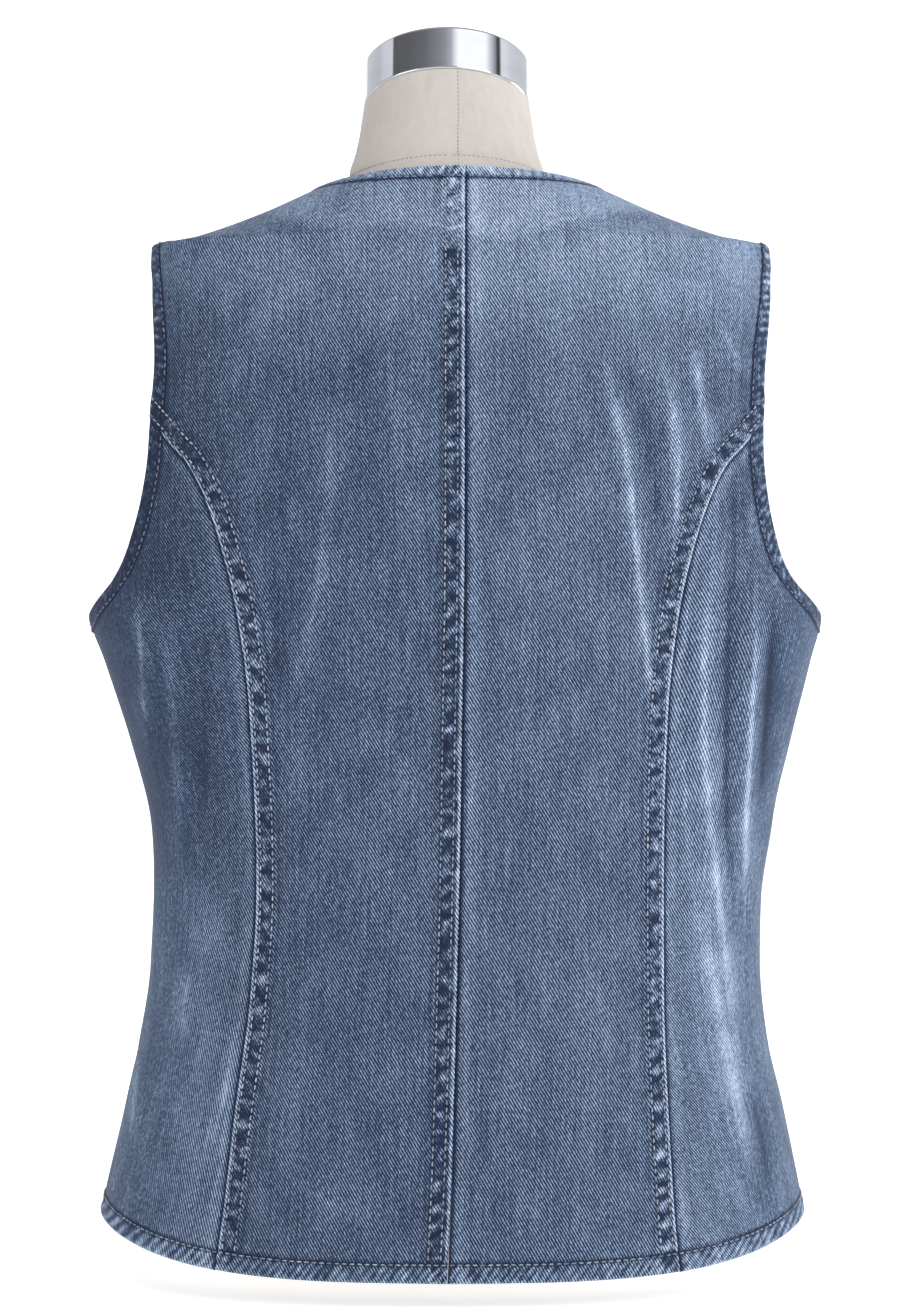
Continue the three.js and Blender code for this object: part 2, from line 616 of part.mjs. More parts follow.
// The larger of two lengths, with the corner between them rounded off.
function softMax(a, b, softness) {
  const blend = Math.max(softness - Math.abs(a - b), 0) / softness;
  return Math.max(a, b) + (blend * blend * softness) / 4;
}

// A vest measure less the form's inset, taken square to the slope of that measure.
function inset(measure, z) {
  const slope = measure(z + 0.5) - measure(z - 0.5);
  return measure(z) - FORM_INSET * Math.hypot(1, slope);
}

// The dress form's ring at a level: the torso's outline and the neck column's, whichever reaches further.
function formRing(z) {
  const lean = NECK_LEAN * RADIANS;
  const flat = Math.cos(lean); // a level cut through the leaning column is longer than it is wide
  const turn = lean * smoothStep((z - NECK_TURN_START_Z) / (NECK_TOP.z - NECK_TURN_START_Z));
  const radius = neck.radius(z);
  const axisY = NECK_TOP.y + (Math.max(z, NECK_ROOT_Z) - NECK_TOP.z) * Math.tan(lean);
  const half = Math.max(inset(section.half, z) - ease.side(z), 1);
  const shift = FORM_SHIFT * (1 - smoothStep((z - 420) / 100));
  const centreX = mix(section.sway(z) + shift, NECK_TOP.x, smoothStep((z - 580) / 30));
  const centreY = mix(section.ridge(z), axisY, smoothStep((z - 592) / 16));
  const ring = [];
  for (let j = 0; j < FORM_SIDES; j++) {
    const angle = (2 * Math.PI * j) / FORM_SIDES;
    const across = Math.sin(angle);
    const along = -Math.cos(angle);
    const face = along < 0 ? "back" : "front";
    const depth = Math.max(inset((level) => reach(face, level), z) - ease[face](z), 1);
    const n = ease.power(z);
    const torso = (Math.abs(across / half) ** n + Math.abs(along / depth) ** n) ** (-1 / n);
    const ray = new THREE.Vector2(across, along * flat);
    const axis = new THREE.Vector2(NECK_TOP.x - centreX, (axisY - centreY) * flat);
    const towards = ray.dot(axis);
    const spread = towards ** 2 - ray.lengthSq() * (axis.lengthSq() - radius ** 2);
    const column = (towards + Math.sqrt(Math.max(spread, 0))) / ray.lengthSq();
    const reachOut = softMax(torso, column, NECK_BLEND);
    const rise = -along * reachOut * Math.sin(turn) * Math.cos(turn);
    ring.push(new THREE.Vector3(
      centreX + across * reachOut,
      centreY + along * reachOut + rise * Math.tan(lean),
      z + rise,
    ));
  }
  return ring;
}

const dressForm = () => ringBody(FORM_LEVELS.map(formRing));

function neckCap() {
  const { radius, height, domeHeight, edgeRadius, sides } = CAP;
  const profile = [
    [0, 0],
    [radius, 0],
    [radius, height - edgeRadius],
    [radius - edgeRadius, height],
    [radius * 0.6, height + domeHeight * 0.7],
    [0, height + domeHeight],
  ].map(([r, z]) => new THREE.Vector2(r, z));
  return new THREE.LatheGeometry(profile, sides);
}

function standBase() {
  const outline = new THREE.Shape();
  outline.absellipse(0, 0, STAND.halfWidth, STAND.halfDepth, 0, 2 * Math.PI, false, 0);
  return new THREE.ExtrudeGeometry(outline, {
    depth: STAND.height, bevelEnabled: false, curveSegments: STAND.sides,
  });
}

const denim = new THREE.MeshStandardMaterial({ color: 0x68799a, roughness: 0.92, metalness: 0 });
const linen = new THREE.MeshStandardMaterial({ color: 0xcfc6bd, roughness: 0.85, metalness: 0 });
const chrome = new THREE.MeshStandardMaterial({ color: 0xd8dade, roughness: 0.08, metalness: 1 });
const buttonMetal = new THREE.MeshStandardMaterial({ color: 0x8f8a82, roughness: 0.35, metalness: 1 });
const standWood = new THREE.MeshStandardMaterial({ color: 0xd9d6d0, roughness: 0.6, metalness: 0 });

const part = new THREE.Group();

function addMesh(name, geometry, material) {
  const mesh = new THREE.Mesh(geometry, material.clone());
  mesh.name = name;
  part.add(mesh);
  return mesh;
}

for (const [side, hand] of [[-1, "left"], [1, "right"]]) {
  addMesh(`back_center_${hand}`, centrePanel("back", side, side === -1), denim);
  addMesh(`back_side_${hand}`, sidePanel("back", side), denim);
  addMesh(`front_center_${hand}`, centrePanel("front", side, false), denim);
  addMesh(`front_side_${hand}`, sidePanel("front", side), denim);
}
addMesh("button_band", buttonBand(), denim);

for (let i = 0; i < BUTTON_COUNT; i++) {
  const z = BUTTON_TOP_Z - i * BUTTON_PITCH;
  const button = addMesh(`button_${i + 1}`, shankButton(), buttonMetal);
  const y = depthAt("front", 0, z);
  button.position.copy(clothPoint("front", 1, -section.sway(z), z, 2 * LAYER_GAP + WALL + BUTTON_LIFT));
  button.quaternion.setFromUnitVectors(new THREE.Vector3(0, 1, 0), normalAt("front", 0, y, z));
}

addMesh("dress_form", dressForm(), linen);

const lean = NECK_LEAN * RADIANS;
const cap = addMesh("neck_cap", neckCap(), chrome);
cap.rotation.x = Math.PI / 2 - lean;
cap.position.set(NECK_TOP.x, NECK_TOP.y + LAYER_GAP * Math.sin(lean), NECK_TOP.z + LAYER_GAP * Math.cos(lean));

addMesh("stand_base", standBase(), standWood);

export default part;
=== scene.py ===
"""The look of a washed denim vest on a limbless dress form, seen from behind.

All lengths in the tables and formulas are millimetres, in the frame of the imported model: +Z is up and the
vest's back faces -Y.
"""

import bpy
import numpy as np
from bpy.props import FloatProperty, FloatVectorProperty, IntProperty, PointerProperty
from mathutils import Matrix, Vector


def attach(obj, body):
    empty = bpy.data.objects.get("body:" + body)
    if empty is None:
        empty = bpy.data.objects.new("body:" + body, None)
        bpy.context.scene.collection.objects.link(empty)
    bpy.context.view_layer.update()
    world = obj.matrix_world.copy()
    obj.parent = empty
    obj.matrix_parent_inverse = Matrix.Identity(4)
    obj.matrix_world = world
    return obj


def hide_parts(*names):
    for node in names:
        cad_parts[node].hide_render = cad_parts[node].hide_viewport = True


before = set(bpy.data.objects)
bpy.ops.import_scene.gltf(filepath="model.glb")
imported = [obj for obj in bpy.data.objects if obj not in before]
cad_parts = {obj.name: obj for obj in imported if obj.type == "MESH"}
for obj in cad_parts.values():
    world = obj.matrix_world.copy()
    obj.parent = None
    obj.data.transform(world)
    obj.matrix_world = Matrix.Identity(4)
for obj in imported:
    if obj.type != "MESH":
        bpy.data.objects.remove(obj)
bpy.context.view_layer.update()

bl_info = {
    "name": "Denim Vest On A Dress Form",
    "version": (1, 0, 0),
    "blender": (4, 5, 0),
    "location": "View3D > Sidebar > Vest",
    "description": "Builds a washed denim vest on a limbless dress form, with its seams, stitches and stage",
    "category": "Add Mesh",
}

MM = 0.001


def table(columns, rows):
    """A table as one array for each named column."""
    return dict(zip(columns.split(), np.array(rows, float).T))


# The vest's outer face, section by section, as in the solids: half its width, how far the back and the front
# reach from the middle plane, the ridge line between them, and the sideways sway of the section's middle.
SECTIONS = table("z half back front ridge sway", [
    (8, 197.5, 138, 126, 0, -0.8),
    (30, 191.4, 135.5, 124, 0, -0.6),
    (57, 185.4, 131, 121, 0, -0.2),
    (90, 178.2, 125, 118, 0, 0.3),
    (122, 170.9, 117, 114, 0, 0.2),
    (166, 165.6, 107, 109, 0, 1),
    (200, 165.2, 103, 107, 0, 2),
    (242, 168.8, 103, 111, 0, 4.4),
    (286, 179.2, 107, 118, 0, 3.8),
    (329, 191.6, 111, 122, 0, 2.2),
    (354, 198.3, 112.5, 120, -1, 1),
    (380, 190, 113, 115, -4, -0.2),
    (410, 186, 113, 107, -8, 0.4),
    (450, 181, 111.5, 95, -11, 1.4),
    (500, 174, 105, 75, -13, 3.8),
    (530, 169.6, 98, 57, -14, 4.2),
    (551, 165.8, 91, 42, -14, 3.6),
    (555, 147, 89.5, 39, -14, 3),
    (558, 137, 88.5, 36, -14, 2.8),
    (569, 107, 84, 27, -14, 2.6),
    (579.5, 83.3, 79.5, 17, -14, 2.4),
    (584, 73, 77.5, 12, -14, 2.2),
    (592, 55.5, 73, 3, -14, 2),
    (600, 38, 62, -4, -14, 2),
    (612, 19, 38, -9, -14, 2),
])
# The armhole's edge as a distance from the section's middle.
ARMHOLE = table("z back front", [
    (354, 198.3, 198.3),
    (362, 190.8, 190.2),
    (372, 181.3, 179.5),
    (383, 174.8, 171.5),
    (393, 171, 166),
    (414, 165.6, 157.5),
    (440, 162.4, 152.5),
    (480, 161.6, 152.5),
    (525, 164.8, 160),
    (551, 165.8, 165.8),
])
# The princess seams as a distance from the section's middle.
PRINCESS = table("z back front", [
    (8, 120, 113),
    (44, 115.7, 109),
    (90, 112, 103),
    (152, 107.3, 94),
    (213, 105.8, 88),
    (303, 108.4, 88),
    (351, 113.9, 95),
    (388, 122.5, 108),
    (409, 129.4, 119),
    (430, 139.6, 134),
    (445, 152.6, 152.3),
    (461, 162.2, 165),
])
# How far the princess seams and the centre back seam stand off the middle plane.
DRIFT = table("z seams centre_back", [
    (8, -3.4, -3.6),
    (80, -1.6, -0.4),
    (150, 1.6, 1.6),
    (213, 3.4, 3.2),
    (300, 2.6, 4.6),
    (390, 2, 5.8),
    (590, 2.2, 6.2),
])
APEX_Z = {"back": 461, "front": 445}
POWER = 2.3
UNDERARM_Z, TIP_Z, NECK_POINT_Z, BACK_NECK_Z, FRONT_V_Z = 354, 551, 584, 588.6, 395
HEM_SIDE_Z, HEM_BACK_DROP, HEM_FRONT_DROP, HEM_POWER = 33, 18.8, 7, 4
APEX_SHARE, NECK_SHARE, TOP_FADE = 0.76, 0.5, 2.6
PANEL_HEIGHT = 560
BAND_HALF, BAND_SHARE = 14, 0.1
SEAM_GAP = 0.4

# The width of a felled seam's band with its two rows of thread, and the widths of the turned edges.
FELL = {"centre": (11.8, (3.9, 10.2)), "princess": (11.2, (2.5, 9.4))}
NECK_TURN, ARM_TURN, HEM_TURN = 7.6, 11.0, 10.0
# How far from a turned edge's inner end its row of thread lies, and how worn the inside of the cloth is.
EDGE_ROW, INSIDE_WEAR = 0.8, 0.15
# The top of the dark fold in the centre back band, where the paler yoke begins.
TACK_Z = 541
BUST_LIFT, BUST_X, BUST_Z = 9, 80, 322
# Distances of a grid's first columns from an edge: over a felled band, at a plain edge, and at the side.
BAND_COLUMNS = np.array([0, 0.3, 0.7, 1.3, 2, 2.8, 3.7, 4.7, 5.8, 7, 8.2, 9.2, 10, 10.8, 11.6, 12.4, 13.4,
                         15])
PLAIN_COLUMNS = np.array([0, 0.3, 0.8, 1.6, 3, 5, 7.5])
SIDE_COLUMNS = np.array([0, 0.4, 1, 2])
# How much wider the columns of the front's grid are than those of the back's.
FRONT_COLUMNS = 1.8

# Creases: the width over which one lifts the cloth, its rise, how strongly its core is lightened as worn
# fading and painted highlight, or darkened as painted shade where it is negative on a sunken crease, and its
# line of x and z on the face.
CREASES = {
    "back": [
        (6, 1.0, 1.35, [(69, 510), (79, 478), (88, 440), (92.5, 403), (97.6, 349), (101, 319), (104, 278)]),
        (5, 0.9, 1.40, [(106, 492), (110, 477), (113, 464), (115, 443), (115.7, 422), (115.3, 402),
                        (112, 376)]),
        (5, 0.8, 1.20, [(122, 500), (125.6, 486), (128.6, 462), (131, 449), (134, 428)]),
        (5, 0.5, 0.60, [(136, 512), (142, 500), (150, 484), (153, 474)]),
        (9, 1.6, 0.95, [(140, 423), (134, 379), (129, 335), (130, 277), (136, 224), (143, 161), (151, 99)]),
        (6, 1.6, 1.10, [(159, 386), (158, 361), (157, 335), (155, 280), (153.5, 240), (154, 205), (158, 186)]),
        (14, 1.4, 0.75, [(125, 230), (129, 188), (140, 136), (150, 86), (153, 48)]),
        (7, 0.5, 0.50, [(117, 305), (119, 270), (122, 235), (124, 200)]),
        (7, -1.8, -1.20, [(169, 368), (168, 330), (166, 290), (163, 250)]),
        (6, -1.0, -0.75, [(143, 400), (144, 365), (143, 330), (143, 280), (144, 240), (148, 190)]),
        (6, -1.0, -0.50, [(154, 112), (163, 76), (167, 46)]),
        (7, -0.8, -0.45, [(146, 440), (147, 400), (146, 350)]),
        (9, -0.7, -0.40, [(84, 500), (98, 460), (105, 420), (108, 380)]),
        (6, 1.3, 0.65, [(-166, 372), (-164, 344), (-163, 296), (-163, 274)]),
        (7, 0.9, 0.50, [(-60, 474), (-62, 440), (-66, 400), (-70, 366), (-76, 330)]),
        (8, 1.0, 0.45, [(-71, 366), (-74, 350), (-78, 334), (-82, 308)]),
        (9, -0.6, -0.30, [(-92, 400), (-92, 350), (-90, 300)]),
        (7, 1.0, 0.50, [(-139, 171), (-141, 149), (-142, 129)]),
        (7, 1.2, 0.60, [(-110, 149), (-115, 124), (-119, 100), (-130, 73)]),
        (5, 0.8, 0.60, [(-168, 117), (-169, 98), (-172, 72)]),
        (12, 1.0, 0.35, [(-153, 366), (-147, 314), (-145, 256), (-147, 202)]),
        (10, -0.9, -0.30, [(-128, 380), (-130, 300), (-131, 220)]),
        (9, 0.7, 0.22, [(-34, 500), (-30, 463), (-28, 422)]),
        (10, 0.8, 0.30, [(55, 216), (75, 154), (85, 99)]),
        (12, 0.8, 0.22, [(-64, 205), (-79, 129), (-84, 64)]),
        (9, 0.6, 0.22, [(30, 440), (38, 360), (36, 290)]),
        (7, 0.6, 0.35, [(-88, 66), (-60, 52), (-34, 44)]),
    ],
    "front": [
        (9, 1.5, 0.5, [(128, 372), (115, 320), (104, 250)]),
        (9, 1.5, 0.5, [(-126, 376), (-114, 322), (-108, 262)]),
        (11, 1.3, 0.5, [(142, 240), (147, 160), (150, 90)]),
        (11, 1.3, 0.5, [(-140, 230), (-146, 150), (-150, 80)]),
        (7, 1.0, 0.4, [(40, 356), (62, 330)]),
        (7, 1.0, 0.4, [(-36, 350), (-60, 326)]),
    ],
}

# How far the form stands inside the vest at its side, back and front, and the power of its section.
FORM_EASE = table("z side back front power", [
    (16, 26, 32, 24, 2.3),
    (60, 16, 20, 16, 2.3),
    (120, 13, 12, 14, 2.3),
    (200, 17, 13, 15, 2.3),
    (290, 20, 6, 2, 2.4),
    (354, 29, 3, 2, 2.5),
    (400, 24, 2, 3, 2.6),
    (470, 16, 1, 2, 2.6),
    (525, 11, 0.4, 0.6, 2.4),
    (546, 13, 0, 0.8, 2.3),
    (555, 1.2, 0, 2, 2.3),
    (575, 4.2, 0.2, 4, 2.3),
    (586, 6, 1.2, 3, 2.3),
    (592, 6, 1.5, 1, 2.3),
])
NECK = table("z radius", [(500, 51.5), (592, 52.9), (603, 50), (613, 47.8), (622, 46.5), (630.1, 45.4)])
FORM_INSET, FORM_SHIFT = 3.6, -1.5
NECK_LEAN = np.radians(20)
NECK_TOP = np.array([-3.6, 6, 630.1])


def curve(rows, name):
    """A smooth curve through one column against z: cubic pieces that never overshoot their rows."""
    z, v = rows["z"], rows[name]
    gap = np.diff(z)
    slope = np.diff(v) / gap
    before, after = slope[:-1], slope[1:]
    wb, wa = 2 * gap[1:] + gap[:-1], gap[1:] + 2 * gap[:-1]
    same = before * after > 0
    mean = (wb + wa) / (wb / np.where(same, before, 1) + wa / np.where(same, after, 1))
    tangent = np.concatenate([slope[:1], np.where(same, mean, 0), slope[-1:]])

    def at(level):
        level = np.clip(level, z[0], z[-1])
        i = np.clip(np.searchsorted(z, level, side="right") - 1, 0, len(z) - 2)
        t = (level - z[i]) / gap[i]
        held = v[i] * (2 * t**3 - 3 * t**2 + 1) + v[i + 1] * (3 * t**2 - 2 * t**3)
        return held + gap[i] * (tangent[i] * (t**3 - 2 * t**2 + t) + tangent[i + 1] * (t**3 - t**2))

    return at


section = {name: curve(SECTIONS, name) for name in SECTIONS if name != "z"}
armhole = {name: curve(ARMHOLE, name) for name in ("back", "front")}
princess = {name: curve(PRINCESS, name) for name in ("back", "front")}
drift = {name: curve(DRIFT, name) for name in ("seams", "centre_back")}
ease = {name: curve(FORM_EASE, name) for name in FORM_EASE if name != "z"}
neck_radius = curve(NECK, "radius")


def mix(a, b, share):
    """The value that lies a share of the way from a to b."""
    return a + (b - a) * share


def smooth(share):
    """A smooth step from 0 to 1: 3s^2 - 2s^3."""
    s = np.clip(share, 0, 1)
    return s * s * (3 - 2 * s)


def unit(vectors):
    return vectors / np.linalg.norm(vectors, axis=-1, keepdims=True)


def read_along(at, run, values):
    """A line's points or normals at given running lengths."""
    return np.stack([np.interp(at, run, column) for column in values.T], -1)


def reach(face, z):
    """How far a face stands from the ridge line at a level."""
    if face == "back":
        return section["ridge"](z) + section["back"](z)
    return section["front"](z) - section["ridge"](z)


def cloth_base(face, side, u, z):
    """The outer face with no creases: points and outward normals at a distance u from the section's middle.

    Every level is a rounded rectangle, (u / half) ** 2.3 + (y / reach) ** 2.3 = 1, and the normal is its
    gradient.
    """
    n = POWER
    sign = -1 if face == "back" else 1
    half, depth, ridge = section["half"](z), reach(face, z), section["ridge"](z)
    across = np.clip(np.abs(u) / half, 0, 1)
    out = np.maximum(depth * (1 - across**n) ** (1 / n), SEAM_GAP / 2)
    along = np.clip(out / depth, 0, 1)
    rate = [f(z + 0.5) - f(z - 0.5) for f in (section["half"], lambda at: reach(face, at), section["ridge"])]
    gx = across ** (n - 1) / half * np.sign(side * u)
    gy = along ** (n - 1) / depth * sign
    gz = -(across**n) * rate[0] / half - along**n * rate[1] / depth - gy * rate[2]
    normal = unit(np.stack([gx, gy, gz], -1))
    return np.stack([side * u + section["sway"](z), ridge + sign * out, z + 0 * u], -1), normal


def angle_of(u, z):
    """The turn round the body, 0 at the middle and pi / 2 at the side, of a distance u from the middle."""
    return np.arcsin(np.clip(np.abs(u) / section["half"](z), 0, 1) ** (POWER / 2)) * np.sign(u)


def u_of(angle, z):
    """The distance from the section's middle at a turn round the body."""
    return section["half"](z) * np.abs(np.sin(angle)) ** (2 / POWER) * np.sign(angle)


def centre_back_u(side, z):
    """The centre back seam's distance from the section's middle, towards a side."""
    return side * (drift["centre_back"](z) - section["sway"](z))


def princess_u(face, side, z):
    """A princess seam's distance from the section's middle."""
    return princess[face](z) + side * (drift["seams"](z) - section["sway"](z))


def hem_z(face, u):
    """The hem's height: it hangs lowest at the middle of a face."""
    share = np.clip(np.abs(u) / section["half"](HEM_SIDE_Z), 0, 1)
    return HEM_SIDE_Z - (HEM_BACK_DROP if face == "back" else HEM_FRONT_DROP) * (1 - share**HEM_POWER)


def armhole_at(face, turn):
    """The armhole's edge: turn 0 is the underarm, pi the shoulder tip."""
    z = mix(UNDERARM_Z, TIP_Z, (1 - np.cos(turn)) / 2)
    return np.minimum(armhole[face](z), section["half"](z)), z


def apex_turn(face):
    """The armhole's turn where the princess seam starts."""
    return np.arccos(1 - 2 * (APEX_Z[face] - UNDERARM_Z) / (TIP_Z - UNDERARM_Z))


RIDGE_Z = np.linspace(NECK_POINT_Z, TIP_Z, 400)


def ridge_at(share):
    """The shoulder seam: share 0 is the neck point, 1 the tip."""
    u = mix(section["half"](NECK_POINT_Z), section["half"](TIP_Z), share)
    return u, np.interp(u, section["half"](RIDGE_Z), RIDGE_Z)


def neck_at(face, side, share):
    """The neckline: share 0 is the middle line, 1 the neck point."""
    if face == "back":
        angle = mix(angle_of(centre_back_u(side, BACK_NECK_Z), BACK_NECK_Z), np.pi / 2, share)
        z = BACK_NECK_Z + (NECK_POINT_Z - BACK_NECK_Z) * np.sin(angle) ** 2
        return u_of(angle, z), z
    middle = -side * section["sway"](FRONT_V_Z)
    corner = middle + BAND_HALF
    rise = np.clip((share - BAND_SHARE) / (1 - BAND_SHARE), 0, 1)
    level = np.clip(share / BAND_SHARE, 0, 1)
    sloped = mix(corner, section["half"](NECK_POINT_Z), rise)
    u = np.where(share < BAND_SHARE, mix(middle, corner, level), sloped)
    return u, mix(FRONT_V_Z, NECK_POINT_Z, rise)


def outer_edge(face, side, up):
    """A centre panel's outer edge: up the princess seam to the armhole, then up it to the shoulder."""
    start = hem_z(face, princess[face](HEM_SIDE_Z))
    low = np.clip(up / APEX_SHARE, 0, 1)
    z = mix(start, APEX_Z[face], low)
    into = smooth((z - APEX_Z[face] + 14) / 14)
    seam = np.minimum(mix(princess_u(face, side, z), armhole[face](z), into), armhole[face](z))
    high = np.clip((up - APEX_SHARE) / (1 - APEX_SHARE), 0, 1)
    turn = mix(apex_turn(face), np.pi, np.arcsin(high) * 2 / np.pi)
    edge_u, edge_z = armhole_at(face, turn)
    return np.where(up <= APEX_SHARE, seam, edge_u), np.where(up <= APEX_SHARE, z, edge_z)


def coons(bottom, top, left, right, corners, across, up):
    """A patch blended from its four edges; the top edge's shape dies away quickly below it."""
    pull = up**TOP_FADE
    out = []
    for k in (0, 1):
        low = mix(corners[0][k], corners[1][k], across)
        high = mix(corners[2][k], corners[3][k], across)
        out.append(mix(left[k], right[k], across) + (1 - pull) * (bottom[k] - low) + pull * (top[k] - high))
    return out


def centre_patch(face, side):
    """A centre panel as u and z against its shares up and across."""
    def left_u(z):
        return centre_back_u(side, z) if face == "back" else -side * section["sway"](z)

    def top(across):
        neck = neck_at(face, side, np.clip(across / NECK_SHARE, 0, 1))
        ridge = ridge_at(np.clip((across - NECK_SHARE) / (1 - NECK_SHARE), 0, 1))
        return [np.where(across < NECK_SHARE, a, b) for a, b in zip(neck, ridge)]

    foot = outer_edge(face, side, np.array(0.0))
    top_left = top(np.array(0.0))
    corners = [(left_u(HEM_SIDE_Z), hem_z(face, 0.0)), foot,
               (left_u(top_left[1]), top_left[1]), top(np.array(1.0))]

    def at(up, across):
        left_z = mix(corners[0][1], corners[2][1], up)
        bottom_u = mix(corners[0][0], foot[0], across)
        bottom = (bottom_u, hem_z(face, bottom_u))
        left = (left_u(left_z), left_z)
        return coons(bottom, top(across), left, outer_edge(face, side, up), corners, across, up)

    return at


def side_patch(face, side):
    """A side panel as u and z against its shares up and across, blended in the angle round the body."""
    def to_angle(place):
        return angle_of(place[0], place[1]), place[1]

    foot = to_angle(outer_edge(face, side, np.array(0.0)))
    quarter = np.pi / 2

    def top(across):
        place = to_angle(armhole_at(face, apex_turn(face) * (1 - across)))
        return [np.where(across >= 1, end, at) for end, at in zip((quarter, UNDERARM_Z), place)]

    corners = [foot, (quarter, HEM_SIDE_Z), top(np.array(0.0)), (quarter, UNDERARM_Z)]

    def at(up, across):
        left = to_angle(outer_edge(face, side, up * APEX_SHARE))
        right = (quarter, mix(HEM_SIDE_Z, UNDERARM_Z, up))
        angle = mix(foot[0], quarter, across)
        bottom = (angle, hem_z(face, u_of(angle, HEM_SIDE_Z)))
        angle, z = coons(bottom, top(across), left, right, corners, across, up)
        return u_of(np.clip(angle, 0, quarter), z), z

    return at


def even(first, last, pitch):
    """Even steps of about one pitch from first to last."""
    return np.linspace(first, last, max(int(round((last - first) / pitch)), 1) + 1)


def centre_rows(pitch):
    """Heights of a centre panel's rows: even to the apex, then closing up towards the shoulder."""
    low = even(0, APEX_SHARE, pitch / PANEL_HEIGHT)
    closing = np.sin(np.linspace(0, np.pi / 2, int(190 / pitch)))[1:]
    edge = np.array([0.3, 0.8]) / PANEL_HEIGHT
    return np.concatenate([low[:1], edge, low[1:], APEX_SHARE + (1 - APEX_SHARE) * closing])


def side_rows(pitch):
    """Heights of a side panel's rows: even, with closer ones at both ends."""
    rows = even(0, 1, pitch / (APEX_SHARE * PANEL_HEIGHT))
    edge = np.array([0.3, 0.8]) / (APEX_SHARE * PANEL_HEIGHT)
    return np.concatenate([rows[:1], edge, rows[1:-1], 1 - edge[::-1], rows[-1:]])


def lengths(points, axis):
    """Running length along one axis of a grid of points."""
    step = np.linalg.norm(np.diff(points, axis=axis), axis=-1)
    return np.concatenate([np.zeros_like(np.take(step, [0], axis)), np.cumsum(step, axis)], axis)


def panel_grid(face, side, patch, rows, starts, pitch, ends):
    """A panel's u, z and true distances from its start and end edges.

    Each row has columns at the listed distances from both edges, and even ones between.
    """
    share = np.linspace(0, 1, 161)[None, :]
    u, z = patch(rows[:, None], share + 0 * rows[:, None])
    run = lengths(cloth_base(face, side, u, z)[0], 1)
    total = run[:, -1:]
    count = max(int(np.median(total) / pitch), 4)
    inner = starts[-1] + (total - ends[-1] - starts[-1]) * np.linspace(0, 1, count + 1)[None, 1:-1]
    wanted = np.concatenate([starts[None, :] + 0 * total, inner, total - ends[None, ::-1]], 1)
    across = np.stack([np.interp(w, r, share[0]) for w, r in zip(wanted, run)])
    u, z = patch(rows[:, None], across)
    return u, z, wanted, total - wanted


def nearest(points, line):
    """Distance to a polyline and running length along it, from the closest of its points and its direction
    there."""
    run = lengths(line, 0)
    tangent = unit(np.gradient(line, axis=0))
    flat = points.reshape(-1, 3)
    distance, along = np.empty(len(flat)), np.empty(len(flat))
    for block in np.array_split(np.arange(len(flat)), max(len(flat) // 4000, 1)):
        gap = flat[block, None, :] - line[None]
        i = np.argmin((gap**2).sum(-1), 1)
        off = gap[np.arange(len(block)), i]
        ahead = (off * tangent[i]).sum(-1)
        distance[block] = np.sqrt(np.maximum((off**2).sum(-1) - ahead**2, 0))
        along[block] = run[i] + ahead
    return distance.reshape(points.shape[:-1]), along.reshape(points.shape[:-1])


def bump(distance, centre, width):
    """A bell of height 1: exp(-((distance - centre) / width) ** 2)."""
    return np.exp(-(((distance - centre) / width) ** 2))


def wave(along, pitch, seed):
    """An uneven wave from -1 to 1 along a seam, with long stronger and weaker stretches."""
    bend = 1.5 * np.sin(along / 9.1 + seed) + 1.1 * np.sin(along / 16.7 + 2 * seed)
    strength = 0.68 + 0.32 * np.sin(along / 13.3 + 3 * seed) * np.sin(along / 29 + seed)
    return np.sin(2 * np.pi * along / pitch + bend) * strength


def creases(face, x, z):
    """Lift and tone of a face's creases at places x and z.

    Each crease is a soft ridge, rise * exp(-(distance / width) ** 2), that dies away towards the ends of its
    line. Its tone is a fine core on a broad faint one, stronger and weaker along the line: bright on a raised
    crease, partly worn fading and partly painted highlight, and dark on a sunken crease as painted shade.
    """
    lift, wear = np.zeros_like(x), np.zeros_like(x)
    for width, rise, fade, line in CREASES[face]:
        line = np.array(line, float)
        run = lengths(line, 0)
        best, place = np.full(x.shape, 1e9), np.zeros_like(x)
        for a, b, start in zip(line[:-1], line[1:], run):
            d = b - a
            t = np.clip(((x - a[0]) * d[0] + (z - a[1]) * d[1]) / (d @ d), 0, 1)
            gap = np.hypot(x - a[0] - d[0] * t, z - a[1] - d[1] * t)
            place = np.where(gap < best, start + t * np.hypot(*d), place)
            best = np.minimum(best, gap)
        share = place / run[-1]
        ends = smooth(share / 0.35) * smooth((1 - share) / 0.3)
        wobble = 1 + 0.25 * np.sin(place / 11 + line[0, 0]) * np.sin(place / 5.3)
        core = 0.75 * bump(best, 0, 0.22 * width) + 0.4 * bump(best, 0, 0.8 * width)
        lift += rise * bump(best, 0, width) * ends
        # A raised crease's bright core is partly worn fading and partly painted highlight; a sunken crease's
        # dark core is painted shade.
        wear += fade * core * ends * wobble
    return lift, wear


def bust_lift(x, z):
    """The front's fullness: a broad soft mound on each side."""
    return BUST_LIFT * bump(np.abs(x), BUST_X, 46) * bump(z, BUST_Z, 52)


def clouds(x, z, seed):
    """Soft uneven patches from -1 to 1: a sum of slanted sines."""
    total = np.zeros_like(x)
    for k, (size, turn) in enumerate([(71, 0.3), (47, 1.2), (33, 2.2), (22, 0.8), (15, 2.7)]):
        phase = seed * (k + 1.7)
        one = np.sin((x * np.cos(turn) + z * np.sin(turn)) / size * 2 + phase)
        other = np.sin((z * np.cos(turn) - x * np.sin(turn)) / size * 1.3 + 2 * phase)
        total += one * other / (1 + 0.35 * k)
    return total / 2.4


